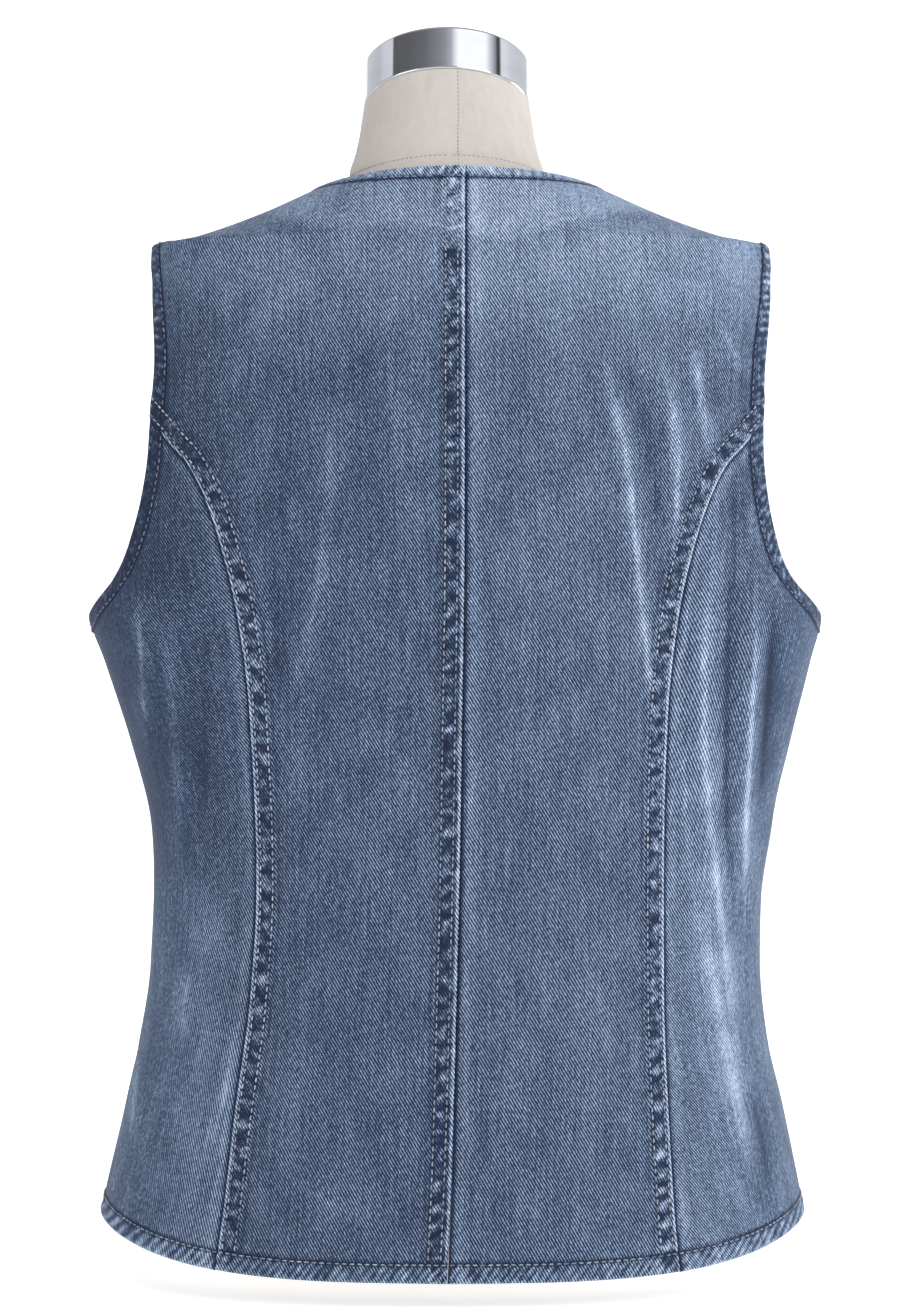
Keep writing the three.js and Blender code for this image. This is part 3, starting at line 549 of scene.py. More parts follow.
def felled(d, along, kind, seed):
    """Lift, tone and strength of a felled seam's band, at a distance d from its lapped edge.

    The band stands up by its folded cloth, with a bright worn lip at the edge. Its two rows of thread draw it
    in, and between and beside them it ropes and puckers in uneven waves, lighter where raised and darker where
    sunk, partly worn fading and partly painted light and shade. A pale line along the band's far edge is a
    painted highlight, and a dark line just beyond it is painted shade at the band's foot.
    """
    width, rows = FELL[kind]
    rope = np.clip(1.5 * wave(along + 0.5 * d, 10.5, seed) + 0.7 * wave(along, 5.3, seed + 1), -1, 1)
    on = smooth((width - d) / 1.5)
    between = smooth((d - rows[0]) / 0.8) * smooth((rows[1] - d) / 0.8)
    pucker = wave(along + 0.9 * d, 7.2, seed + 4) * np.exp(-np.maximum(d - width, 0) / 4) * (1 - on)
    thread = sum(bump(d, row, 0.85) for row in rows)
    lip = bump(d, 1.1, 0.9)
    lift = on * (1.05 + 0.35 * lip + 0.2 * rope * between) - 0.35 * thread + 0.1 * pucker
    lift -= 0.5 * np.exp(-d / 0.35)
    wear = 1.6 * lip + on * (-0.3 + 0.7 * rope * between) * (1 - lip) - 0.9 * thread
    # 0.35 * bump(d, width - 0.2, 0.7) is a painted highlight on the band's far edge; -0.4 * bump(d, width +
    # 1.1, 0.9) is painted shade at its foot.
    wear += 0.25 * pucker + 0.35 * bump(d, width - 0.2, 0.7) - 0.4 * bump(d, width + 1.1, 0.9)
    return lift, wear, on * (1 - 0.8 * lip)


def beside_lap(d, along, seed):
    """Lift and tone beside a lapped edge, on the panel underneath: a dark line of painted shadow cast by the
    lapped edge, then small puckers, lighter where raised and darker where sunk, partly worn and partly painted
    light and shade, and a paler strip.
    """
    pucker = wave(along - 0.9 * d, 7.2, seed) * np.exp(-d / 5)
    # -2.4 * bump(d, 0, 1.3) paints the lapped edge's shadow.
    return 0.1 * pucker, 0.2 * pucker - 2.4 * bump(d, 0, 1.3) + 0.4 * bump(d, 5, 3.5)


def turned(d, along, width, seed, slant, base=0.15):
    """Lift, tone and strength of a turned and stitched edge, at a distance d from the edge.

    Slanted roping runs along it, lighter where raised and darker where sunk, partly worn fading and partly
    painted light and shade; the thread draws in a dark line, and the outer edge is worn pale.
    """
    rope = np.clip(1.4 * wave(along + slant * d, 4.9, seed) + 0.4 * wave(along, 13.1, seed + 1), -1, 1)
    on = smooth((width - d) / 1.0)
    thread = bump(d, width - 0.5, 1.1)
    pucker = rope * np.exp(-np.maximum(d - width, 0) / 3) * (1 - on)
    lift = on * (0.35 + 0.26 * rope * smooth(d / 2)) - 0.35 * thread + 0.1 * pucker - 0.55 * np.exp(-d / 0.45)
    # The roping's tone follows its rise: worn fading together with painted light and shade.
    wear = on * (base + 0.7 * rope * smooth(d / 1.2)) - 1.8 * thread + 0.2 * pucker + 1.0 * np.exp(-d / 0.8)
    return lift, wear, (0.35 if base > 0 else 0.9) * on


def quads_of(index):
    """Quads between the neighbours in a grid of point numbers."""
    return np.stack([index[:-1, :-1], index[:-1, 1:], index[1:, 1:], index[1:, :-1]], -1).reshape(-1, 4)


def wall_faces(rows, columns):
    """Quads of a closed wall over two grids of points: outer, inner and the four edges between them."""
    outer, inner = np.arange(2 * rows * columns).reshape(2, rows, columns)
    faces = [quads_of(outer), quads_of(inner)[:, [0, 3, 2, 1]]]
    for a, b in ((outer[0, ::-1], inner[0, ::-1]), (outer[-1], inner[-1]),
                 (outer[:, 0], inner[:, 0]), (outer[::-1, -1], inner[::-1, -1])):
        faces.append(np.stack([a[:-1], a[1:], b[1:], b[:-1]], -1))
    return np.concatenate(faces)


def ring_faces(rings, sides):
    """Quads between rings of points, with each ring joined to its own start."""
    index = np.arange(rings * sides).reshape(rings, sides)
    return quads_of(np.concatenate([index, index[:, :1]], 1))


def make_mesh(name, points, faces, material, uv=None, **values):
    """A mesh object from points in millimetres and quads.

    uv has a pair for each point, and each further value becomes an attribute of the points. The quads are
    turned over where the volume that they enclose comes out negative, so that they face outwards.
    """
    corners = np.ascontiguousarray(faces, dtype=np.int32)
    a, b, c = (points[corners[:, k]] for k in range(3))
    if np.einsum("ij,ij->", a, np.cross(b, c)) < 0:
        corners = corners[:, ::-1].copy()
    mesh = bpy.data.meshes.new(name)
    mesh.vertices.add(len(points))
    mesh.vertices.foreach_set("co", (points * MM).astype(np.float32).ravel())
    mesh.loops.add(corners.size)
    mesh.loops.foreach_set("vertex_index", corners.ravel())
    mesh.polygons.add(len(corners))
    mesh.polygons.foreach_set("loop_start", np.arange(0, corners.size, 4, dtype=np.int32))
    mesh.polygons.foreach_set("use_smooth", np.ones(len(corners), bool))
    mesh.update(calc_edges=True)
    if uv is not None:
        layer = mesh.uv_layers.new(name="UVMap")
        layer.data.foreach_set("uv", uv[corners.ravel()].astype(np.float32).ravel())
    for label, value in values.items():
        attribute = mesh.attributes.new(label, "FLOAT", "POINT")
        attribute.data.foreach_set("value", value.astype(np.float32))
    if mesh.validate():
        raise RuntimeError(f"{name}: the mesh had bad faces")
    mesh.materials.append(material)
    piece = bpy.data.objects.new(name, mesh)
    bpy.context.scene.collection.objects.link(piece)
    return piece


def flat_runs(points):
    """Lengths of cloth between a grid's columns with their rise left out, and between its rows with their
    sideways run left out."""
    row, column = np.diff(points, axis=1), np.diff(points, axis=0)
    return np.hypot(row[..., 0], row[..., 1]), np.hypot(column[..., 1], column[..., 2])


def stitch_template(sides=6):
    """One stitch as points and quads: a short bowed thread, with its ends sunk into the cloth."""
    along = np.array([-0.5, -0.38, -0.14, 0.14, 0.38, 0.5])
    width = np.array([0.15, 0.8, 1, 1, 0.8, 0.15])
    height = np.array([-0.9, 0.0, 0.65, 0.65, 0.0, -0.9])
    turn = np.linspace(0, 2 * np.pi, sides, endpoint=False)
    points = np.stack([along[:, None] + 0 * turn, width[:, None] * np.cos(turn),
                       height[:, None] + width[:, None] * np.sin(turn)], -1)
    return points.reshape(-1, 3), ring_faces(len(along), sides)


def add_stitches(name, paths, material, thread, pitch, share=0.74):
    """Stitches in one mesh: each path, of points and normals, is cut to even lengths with a stitch in each.

    A stitch fills its share of the length, stands on its normal and turns a little to one side.
    """
    template, quads = stitch_template()
    bodies, faces, start = [], [], 0
    for points, normals in paths:
        if len(points) < 2:
            continue
        run = lengths(points, 0)
        count = max(int(run[-1] / pitch), 1)
        middle = (np.arange(count) + 0.5) * run[-1] / count
        ahead = unit(read_along(middle + 1, run, points) - read_along(middle - 1, run, points))
        up = read_along(middle, run, normals)
        up = unit(up - (up * ahead).sum(1, keepdims=True) * ahead)
        over = np.cross(up, ahead)
        ahead = ahead + over * (np.sin(middle * 7.3) * 0.05)[:, None]
        axes = np.stack([ahead * run[-1] / count * share, over * thread / 2, up * thread / 2], 1)
        bodies.append((read_along(middle, run, points)[:, None] + template @ axes).reshape(-1, 3))
        first = start + np.arange(count)[:, None, None] * len(template)
        faces.append((quads[None] + first).reshape(-1, 4))
        start += count * len(template)
    return make_mesh(name, np.concatenate(bodies), np.concatenate(faces), material)


class Panel:
    """A cut piece's grid: points before and after its relief, normals, and distances from its edges.

    lift raises the cloth; the wear and light value lightens or darkens it, by worn fading and by painted
    highlights on raised cloth and painted shade in sunken cloth; seam is how strongly it is folded and sewn,
    weave is how clearly its twill shows, and thick is the depth of the cloth turned under it.
    """

    def __init__(self, kind, face, side, settings):
        self.kind, self.face, self.side = kind, face, side
        pitch = (settings.back_pitch if face == "back" else settings.front_pitch) / MM
        column_pitch = settings.column_pitch / MM * (1 if face == "back" else FRONT_COLUMNS)
        if kind == "center":
            patch, rows = centre_patch(face, side), centre_rows(pitch)
            starts, ends = BAND_COLUMNS if self.laps() else PLAIN_COLUMNS, BAND_COLUMNS + SEAM_GAP / 2
        else:
            patch, rows = side_patch(face, side), side_rows(pitch)
            starts, ends = PLAIN_COLUMNS, SIDE_COLUMNS
        grid = panel_grid(face, side, patch, rows, starts + SEAM_GAP / 2, column_pitch, ends)
        self.u, self.z, self.start, self.end = grid
        self.base, self.normal = cloth_base(face, side, self.u, self.z)
        self.bottom = lengths(self.base, 0)
        self.lift, self.wear, self.seam, self.thick = np.zeros((4, *self.u.shape))
        self.weave = smooth((np.abs(self.normal[..., 1]) - 0.45) / 0.5)

    def laps(self):
        """Whether this is the panel whose edge laps over the centre back seam."""
        return (self.kind, self.face, self.side) == ("center", "back", -1)

    def add(self, lift, wear, seam=0):
        self.lift += lift
        self.wear += wear
        self.seam = np.maximum(self.seam, seam)

    def relief(self):
        """Creases and soft patches over the whole face, calmed on the shoulders."""
        x = self.base[..., 0]
        lift, wear = creases(self.face, x, self.z)
        bust = bust_lift(x, self.z) if self.face == "front" else 0
        fade = smooth((TIP_Z - self.z) / 60)
        self.add((lift + bust) * fade + 0.35 * clouds(x, self.z, 1.0),
                 wear + 0.1 * clouds(x, self.z, 2.0) + 0.05 * clouds(2.3 * x, 0.6 * self.z, 5.0))
        self.smooth_lift = self.lift.copy()

    def grain(self):
        """The cloth's own lengths: along a row without its rise, and up a column without its drift."""
        across, up = flat_runs(self.base)
        along = np.concatenate([0 * self.u[:, :1], np.cumsum(across, 1)], 1)
        if self.kind == "side":
            along -= along[:, -1:]
        up = np.concatenate([0 * self.u[:1], np.cumsum(up, 0)])
        return np.stack([self.side * along, up + self.z[:1]], -1)

    def finish(self, wall):
        """The outer face with its relief and true normals, and the inner face a wall's thickness below it."""
        self.outer = self.base + self.normal * self.lift[..., None]
        true = np.cross(np.gradient(self.outer, axis=1), np.gradient(self.outer, axis=0))
        length = np.linalg.norm(true, axis=-1, keepdims=True)
        true = np.where(length > 1e-9, true / np.maximum(length, 1e-9), self.normal)
        self.true = true * np.sign((true * self.normal).sum(-1, keepdims=True))
        relief = np.minimum(self.lift, self.smooth_lift)
        self.inner = self.base + self.normal * (relief - wall - self.thick)[..., None]

    def up_the_start(self, distance):
        """Points and normals of the outer face at a distance from the start edge, one for each row."""
        return [np.stack([read_along(distance, at, row) for at, row in zip(self.start, grid)])
                for grid in (self.outer, self.true)]

    def along_the_hem(self, distance):
        """Points and normals of the outer face at a distance from the hem, one for each column."""
        columns = range(self.u.shape[1])
        return [np.stack([read_along(distance, self.bottom[:, j], grid[:, j]) for j in columns])
                for grid in (self.outer, self.true)]

    def snapped(self, line, distance, inward):
        """A line at a distance inward from an edge line, laid on the face by its nearest points."""
        offset = line + inward * distance
        flat, normals = self.outer.reshape(-1, 3), self.true.reshape(-1, 3)
        i = np.concatenate([np.argmin(((block[:, None] - flat[None]) ** 2).sum(-1), 1)
                            for block in np.array_split(offset, max(len(offset) // 40, 1))])
        gap = ((offset - flat[i]) * normals[i]).sum(1, keepdims=True)
        laid = offset - gap * normals[i]
        row, column = np.divmod(i, self.u.shape[1])
        inside = (row > 0) & (row < self.u.shape[0] - 1) & (column > 0) & (column < self.u.shape[1] - 1)
        keep = inside & (np.linalg.norm(laid - flat[i], axis=1) < 2.5)
        return smoothed(laid)[keep], smoothed(normals[i])[keep]


def edge_line(face, side, place, count=500):
    """An edge as points of the outer face 1.2 mm apart, with the direction across it in the cloth."""
    u, z = place(np.linspace(0, 1, count))
    points, normal = cloth_base(face, side, u, z)
    run = lengths(points, 0)
    even_run = np.linspace(0, run[-1], max(int(run[-1] / 1.2), 8))
    points, normal = read_along(even_run, run, points), read_along(even_run, run, normal)
    return points, unit(np.cross(normal, np.gradient(points, axis=0)))


def edges_of(face, side):
    """The lines of one quarter of the vest: its armhole, its neckline and its princess seam, which runs on
    straight past the armhole."""
    u, z = outer_edge(face, side, np.linspace(0, APEX_SHARE, 400))
    below = z < APEX_Z[face] - 10
    u, z = u[below], z[below]
    rise = np.arange(0.5, 34, 0.5)
    u = np.append(u, u[-1] + rise * (u[-1] - u[-9]) / (z[-1] - z[-9]))
    z = np.append(z, z[-1] + rise)
    u = np.minimum(u, section["half"](z) - 1)
    share = np.linspace(0, 1, len(u))
    return {
        "armhole": edge_line(face, side, lambda t: armhole_at(face, np.pi * t)),
        "neck": edge_line(face, side, lambda t: neck_at(face, side, t)),
        "princess": edge_line(face, side, lambda t: (np.interp(t, share, u), np.interp(t, share, z))),
    }


def shape_panel(panel, lines):
    """Adds the creases, seams, turned edges, and the broad fading and painted light and shade, to a panel's
    grid.

    A seam or an edge is calmed where another one crosses it.
    """
    face, side, back = panel.face, panel.side, panel.face == "back"
    seed = (1.0 if back else 4.0) + 0.7 * side
    panel.relief()
    arm, arm_along = nearest(panel.base, lines["armhole"][0])
    neck, neck_along = nearest(panel.base, lines["neck"][0])
    hem = panel.bottom
    arm_on = smooth((arm - ARM_TURN + 1.5) / 2)
    hem_on = smooth((hem - HEM_TURN + 1) / 1.5)
    seam_up = hem[:, :1] + 0 * hem
    edges = [
        (arm, arm_along, ARM_TURN, 0.5, seed + 6, -0.45 + 0.1 * side),
        (hem, panel.base[..., 0] * (1 if back else -1), HEM_TURN, -0.8, 3.0, 0.1),
    ]
    if panel.kind == "center":
        neck_on = smooth((neck - NECK_TURN + 1.5) / 2)
        edges.append((neck, neck_along * side, NECK_TURN, 0.4, 6.0, 0.35))
        lap, along = nearest(panel.base, lines["princess"][0])
        lift, wear, seam = felled(lap, along, "princess", seed)
        panel.add(lift * (0.4 + 0.6 * arm_on) * (0.6 + 0.4 * hem_on),
                  wear * (0.35 + 0.65 * arm_on) * (0.3 + 0.7 * hem_on), seam)
        if panel.laps():
            lift, wear, seam = felled(panel.start, seam_up, "centre", 9.0)
            wear = centre_band_wear(panel, wear)
            panel.add(lift * (0.55 + 0.45 * neck_on) * (0.6 + 0.4 * hem_on),
                      wear * (0.3 + 0.7 * hem_on), seam)
            panel.wear -= centre_tack(panel)
        elif back:
            lift, wear = beside_lap(panel.start, seam_up, 9.5)
            panel.add(lift * arm_on * neck_on * hem_on, wear)
    else:
        lift, wear = beside_lap(panel.start, seam_up, seed + 1)
        panel.add(lift * arm_on * hem_on, wear * arm_on)
        puckers = 0.18 * bump(panel.end, 4, 3) * wave(hem, 8, seed)
        panel.add(-0.4 * np.exp(-panel.end / 0.8), puckers - 0.6 * np.exp(-panel.end / 0.8))
    for d, along, width, slant, edge_seed, base in edges:
        panel.add(*turned(d, along, width, edge_seed, slant, base))
        panel.thick += 0.9 * smooth((width - d) / 1.5)
    panel.thick -= 0.5 * np.exp(-np.minimum(arm, hem) / 0.45)
    broad_light_and_fading(panel, neck)


def centre_band_wear(panel, wear):
    """The centre band's own wear: darker than the panels, and pale and quiet in the yoke above TACK_Z."""
    on = (panel.start < FELL["centre"][0]) * 1.0
    yoke = smooth((panel.z - TACK_Z) / 5)
    return wear * (1 - 0.6 * yoke) + (0.4 * yoke - 0.2) * on


def centre_tack(panel):
    """The dark fold of cloth at the top of the centre band, just below TACK_Z."""
    on = (panel.start < FELL["centre"][0]) * smooth((panel.start - 1.5) / 1)
    return 0.7 * on * smooth((TACK_Z + 2 - panel.z) / 1.5) * smooth((panel.z - TACK_Z + 11) / 7)


def broad_light_and_fading(panel, neck):
    """Broad tone: a worn pale facing under the back neck, shoulders lightened as painted light from above, the
    right side lighter and the left darker as painted light and shade, the outer left above darker as painted
    shade, and paler outer sides below.
    """
    x, z, back, centre = panel.base[..., 0], panel.z, panel.face == "back", panel.kind == "center"
    if back and centre:
        border = 43 + 3 * np.sin(x / 17)
        faced = smooth((border - neck) / 7) * smooth((neck - NECK_TURN) / 3)
        panel.wear += 0.28 * faced - 0.12 * bump(neck, border + 3, 6)
    if centre:
        # Painted light from above: the shoulders lighter, the right one a little more.
        panel.wear += 0.72 * smooth((z - 465) / 90) * (1 + 0.1 * panel.side)
    if back:
        # Painted light and shade: the right side lighter, the left darker.
        panel.wear += 0.14 * np.tanh(x / 60) - 0.12
        # Painted shade on the outer left above.
        panel.wear -= 0.2 * smooth((-x - 100) / 50) * smooth((z - 190) / 90)
        panel.wear += 0.48 * smooth((-x - 108) / 20) * smooth((260 - z) / 80)
        panel.wear += 0.26 * smooth((x - 112) / 20) * smooth((330 - z) / 120)


def both(outer, inner):
    """The values of a wall's outer grid followed by those of its inner grid."""
    return np.concatenate([outer.ravel(), inner.ravel()])


def cloth_uv(grain):
    """The cloth's own lengths as a pair in centimetres for each point of a wall."""
    grain = grain.reshape(-1, 2)
    return np.concatenate([grain, grain]) * MM * 100


def add_panel(kind, face, side, hand, settings, material):
    """One cut piece of the vest as a closed wall. Gives back its stitch lines."""
    name = f"{face}_{kind}_{hand}"
    lines = edges_of(face, side)
    panel = Panel(kind, face, side, settings)
    shape_panel(panel, lines)
    panel.finish(settings.wall / MM)
    points = np.concatenate([panel.outer.reshape(-1, 3), panel.inner.reshape(-1, 3)])
    # Per-point tone: worn fading, with painted highlights on raised cloth and painted shade in sunken cloth.
    piece = make_mesh(f"{name}_cloth", points, wall_faces(*panel.u.shape), material, cloth_uv(panel.grain()),
                      wear=both(panel.wear, np.full_like(panel.wear, INSIDE_WEAR)),
                      seam=both(panel.seam, 0 * panel.seam), weave=both(panel.weave, panel.weave))
    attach(piece, "root")
    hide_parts(name)
    return stitch_paths(panel, lines)


def smoothed(line, rounds=3):
    """A line with each point moved to the mean of its neighbours, a few times."""
    for _ in range(rounds):
        line = np.concatenate([line[:1], (line[:-2] + 2 * line[1:-1] + line[2:]) / 4, line[-1:]])
    return line


def facing(line, inward, panel):
    """An edge line's directions across it, turned to the side on which the panel lies."""
    mid = len(line) // 2
    flat = panel.base.reshape(-1, 3)
    away = [np.linalg.norm(flat - line[mid] - way * 5 * inward[mid], axis=1).min() for way in (1, -1)]
    return inward if away[0] < away[1] else -inward


def stitch_paths(panel, lines):
    """The stitch lines on one panel, as points and normals of its outer face: those of the princess seam,
    those of the centre seam and hem, and those of the armhole and neck."""
    centre = panel.kind == "center"
    princess_rows, middle, edges = [], [], []
    if centre:
        line, across = lines["princess"]
        above = line[:, 2] > line[0, 2] + HEM_TURN + 0.5
        across = facing(line, across, panel)
        princess_rows = [panel.snapped(line[above], d, across[above]) for d in FELL["princess"][1]]
    if panel.laps():
        keep = (panel.bottom[:, 0] > HEM_TURN + 0.5) & (panel.z[:, 0] < BACK_NECK_Z - NECK_TURN)
        for d in FELL["centre"][1]:
            points, normals = panel.up_the_start(d)
            middle.append((points[keep], normals[keep]))
    middle.append(panel.along_the_hem(HEM_TURN - EDGE_ROW))
    line, across = lines["armhole"]
    part = line[:, 2] >= APEX_Z[panel.face] if centre else line[:, 2] <= APEX_Z[panel.face]
    rows = [(line[part], across[part], ARM_TURN)] + ([(*lines["neck"], NECK_TURN)] if centre else [])
    for line, across, width in rows:
        edges.append(panel.snapped(line, width - EDGE_ROW, facing(line, across, panel)))
    return princess_rows, middle, edges


class Nodes:
    """A short way to build a material's nodes round one Principled shader.

    Inputs are named by their socket, with an underscore for a space. Each takes a value or another node's
    output.
    """

    def __init__(self, name):
        self.material = bpy.data.materials.new(name)
        self.material.use_nodes = True
        self.tree = self.material.node_tree
        self.tree.nodes.clear()
        self.shader = self.tree.nodes.new("ShaderNodeBsdfPrincipled")
        output = self.tree.nodes.new("ShaderNodeOutputMaterial")
        self.tree.links.new(self.shader.outputs[0], output.inputs["Surface"])

    def feed(self, socket, value):
        if isinstance(value, bpy.types.NodeSocket):
            self.tree.links.new(value, socket)
        else:
            socket.default_value = value

    def set(self, **values):
        for name, value in values.items():
            self.feed(self.shader.inputs[name.replace("_", " ")], value)

    def add(self, kind, output, **values):
        """A node with its inputs fed. Gives back one of its outputs."""
        node = self.tree.nodes.new("ShaderNode" + kind)
        for name, value in values.items():
            self.feed(node.inputs[name.replace("_", " ")], value)
        return node.outputs[output]

    def math(self, operation, *values):
        node = self.tree.nodes.new("ShaderNodeMath")
        node.operation = operation
        for value, socket in zip(values, node.inputs):
            self.feed(socket, value)
        return node.outputs[0]

    def mapped(self, source, scale, turn):
        return self.add("Mapping", "Vector", Vector=source, Rotation=(0, 0, turn), Scale=scale)

    def uv(self, scale=(1, 1, 1), turn=0.0):
        source = self.tree.nodes.new("ShaderNodeUVMap")
        source.uv_map = "UVMap"
        return self.mapped(source.outputs["UV"], scale, turn)

    def place(self, scale=(1, 1, 1), turn=0.0):
        return self.mapped(self.add("TexCoord", "Object"), scale, turn)

    def noise(self, vector, scale, detail=2.0, roughness=0.5, distortion=0.0):
        return self.add("TexNoise", "Fac", Vector=vector, Scale=scale, Detail=detail, Roughness=roughness,
                        Distortion=distortion)

    def waves(self, vector, scale, distortion=0.0, detail_scale=1.0, detail=2.0):
        return self.add("TexWave", "Fac", Vector=vector, Scale=scale, Distortion=distortion, Detail=detail,
                        Detail_Scale=detail_scale)

    def attribute(self, name):
        node = self.tree.nodes.new("ShaderNodeAttribute")
        node.attribute_name = name
        return node.outputs["Fac"]

    def colour(self, value, stops):
        """The base colour: a ramp of colours at their places along a value."""
        node = self.tree.nodes.new("ShaderNodeValToRGB")
        self.feed(node.inputs["Fac"], value)
        elements = node.color_ramp.elements
        while len(elements) < len(stops):
            elements.new(0.5)
        for element, (place, colour) in zip(elements, stops):
            element.position = place
            element.color = (*colour[:3], 1)
        self.set(Base_Color=node.outputs["Color"])

    def bump(self, height, strength, distance):
        self.set(Normal=self.add("Bump", "Normal", Strength=strength, Distance=distance, Height=height))


def denim_material(settings):
    """Washed twill: broken slanted light lines over a dark warp, uneven yarns, and shade from attributes.

    The wear and light attribute lightens or darkens the cloth, by worn fading and by painted highlights and
    painted shade. seam adds dark and light blotches where it is folded and sewn. weave is how clearly the
    twill shows, less where the cloth turns to the side. The UV map is in centimetres.
    """
    n = Nodes("washed_denim")
    slant = settings.twill_angle
    # A wave texture of scale 1 has a period of pi / 10.
    twill = n.waves(n.uv(turn=slant), np.pi / (10 * settings.twill_pitch * 100), 0.9, 5.0, 2.0)
    twill = n.math("MULTIPLY_ADD", n.math("SUBTRACT", twill, 0.5), n.attribute("weave"), 0.5)
    dash = n.noise(n.uv((1, 0.4, 1), slant), 11.0, 2.0, 0.6)
    fine = n.noise(n.uv(), 20.0, 1.0, 0.5)
    yarn = n.noise(n.uv((1, 0.04, 1)), 7.0, 3.0, 0.6)
    cloud = n.noise(n.uv((1, 0.6, 1)), 0.5, 4.0, 0.6)
    speck = n.noise(n.uv((1, 0.8, 1)), 4.0, 3.0, 0.65)
    blotch = n.math("SUBTRACT", n.noise(n.uv(), 1.9, 3.0, 0.6, 0.4), 0.5)
    blotch = n.math("MULTIPLY_ADD", n.attribute("seam"), blotch, 0.5)
    # The attribute's tone holds painted highlights and painted shade as well as wear.
    shade = n.math("MULTIPLY_ADD", n.attribute("wear"), settings.wear_and_light_strength, settings.wash)
    for value, amount in ((twill, 0.8), (dash, 1.0), (fine, 0.65), (yarn, 0.6), (cloud, 0.4), (speck, 0.5),
                          (blotch, 2.4)):
        shade = n.math("ADD", shade, n.math("MULTIPLY_ADD", value, amount, -amount / 2))
    n.colour(n.math("MULTIPLY", shade, 0.68), [
        (0.02, settings.denim_dark),
        (0.31, settings.denim_mid),
        (0.65, settings.denim_light),
        (0.98, settings.denim_pale),
    ])
    threads = n.math("ADD", dash, n.math("MULTIPLY", yarn, 0.5))
    n.bump(n.math("ADD", n.math("MULTIPLY", twill, 0.7), threads), 0.6, 0.0003)
    n.set(Roughness=0.88, Sheen_Weight=0.12, Sheen_Roughness=0.45, Sheen_Tint=(0.75, 0.83, 1, 1),
          Specular_IOR_Level=0.2)
    return n.material


def thread_material(settings, shade):
    """Spun thread in one of three shades: fine twists of light and shade over uneven dye."""
    n = Nodes(f"seam_thread_{shade}")
    twist = n.waves(n.place(turn=0.6), 90.0, 2.0, 30.0)
    tone = n.noise(n.place(), 140.0, 2.0)
    value = n.math("ADD", n.math("MULTIPLY", twist, 0.25), n.math("MULTIPLY_ADD", tone, 2.0, -0.6))
    dark, light = {"light": (settings.thread_dark, settings.thread_light),
                   "grey": (settings.grey_thread_dark, settings.grey_thread_light),
                   "dark": (settings.edge_thread_dark, settings.edge_thread_light)}[shade]
    n.colour(value, [(0.1, dark), (0.9, light)])
    n.set(Roughness=0.75)
    return n.material


def linen_material(settings):
    """The form's cover: a fine plain weave in pale beige, slightly mottled."""
    n = Nodes("form_cover")
    warp = n.waves(n.place(), 62.0, 0.6, 8.0)
    weft = n.waves(n.place(turn=np.pi / 2), 62.0, 0.6, 8.0)
    tone = n.noise(n.place(), 18.0, 4.0, 0.55)
    slub = n.noise(n.place((1, 1, 0.08)), 260.0, 2.0)
    shade = n.math("ADD", n.math("MULTIPLY", tone, 0.5), n.math("MULTIPLY", slub, 0.5))
    n.colour(shade, [(0.2, settings.form_dark), (0.8, settings.form_light)])
    n.bump(n.math("ADD", n.math("ADD", warp, weft), slub), 0.25, 0.0001)
    n.set(Roughness=0.82, Sheen_Weight=0.1)
    return n.material


def metal_material(name, colour, roughness, brushed):
    """Metal with faint brush marks and smudges."""
    n = Nodes(name)
    marks = n.noise(n.place((0.15, 0.15, 3)), brushed, 3.0, 0.6)
    smudge = n.noise(n.place(), 34.0, 3.0)
    darker = tuple(0.82 * c for c in colour)
    n.colour(n.math("MULTIPLY", n.math("ADD", marks, smudge), 0.5), [(0.3, darker), (0.7, colour)])
    n.set(Roughness=n.math("MULTIPLY_ADD", smudge, 0.08, roughness), Metallic=1.0)
    return n.material


def plain_material(name, dark, light, scale, roughness):
    """A matt surface with a soft mottle and a fine grain."""
    n = Nodes(name)
    n.colour(n.noise(n.place(), scale, 4.0, 0.6), [(0.3, dark), (0.7, light)])
    n.bump(n.noise(n.place(), scale * 40, 2.0), 0.08, 0.0002)
    n.set(Roughness=roughness)
    return n


def soft_max(a, b, softness):
    """The larger of two values, with the corner where they cross rounded off over the softness."""
    blend = np.maximum(softness - np.abs(a - b), 0) / softness
    return np.maximum(a, b) + blend * blend * softness / 4


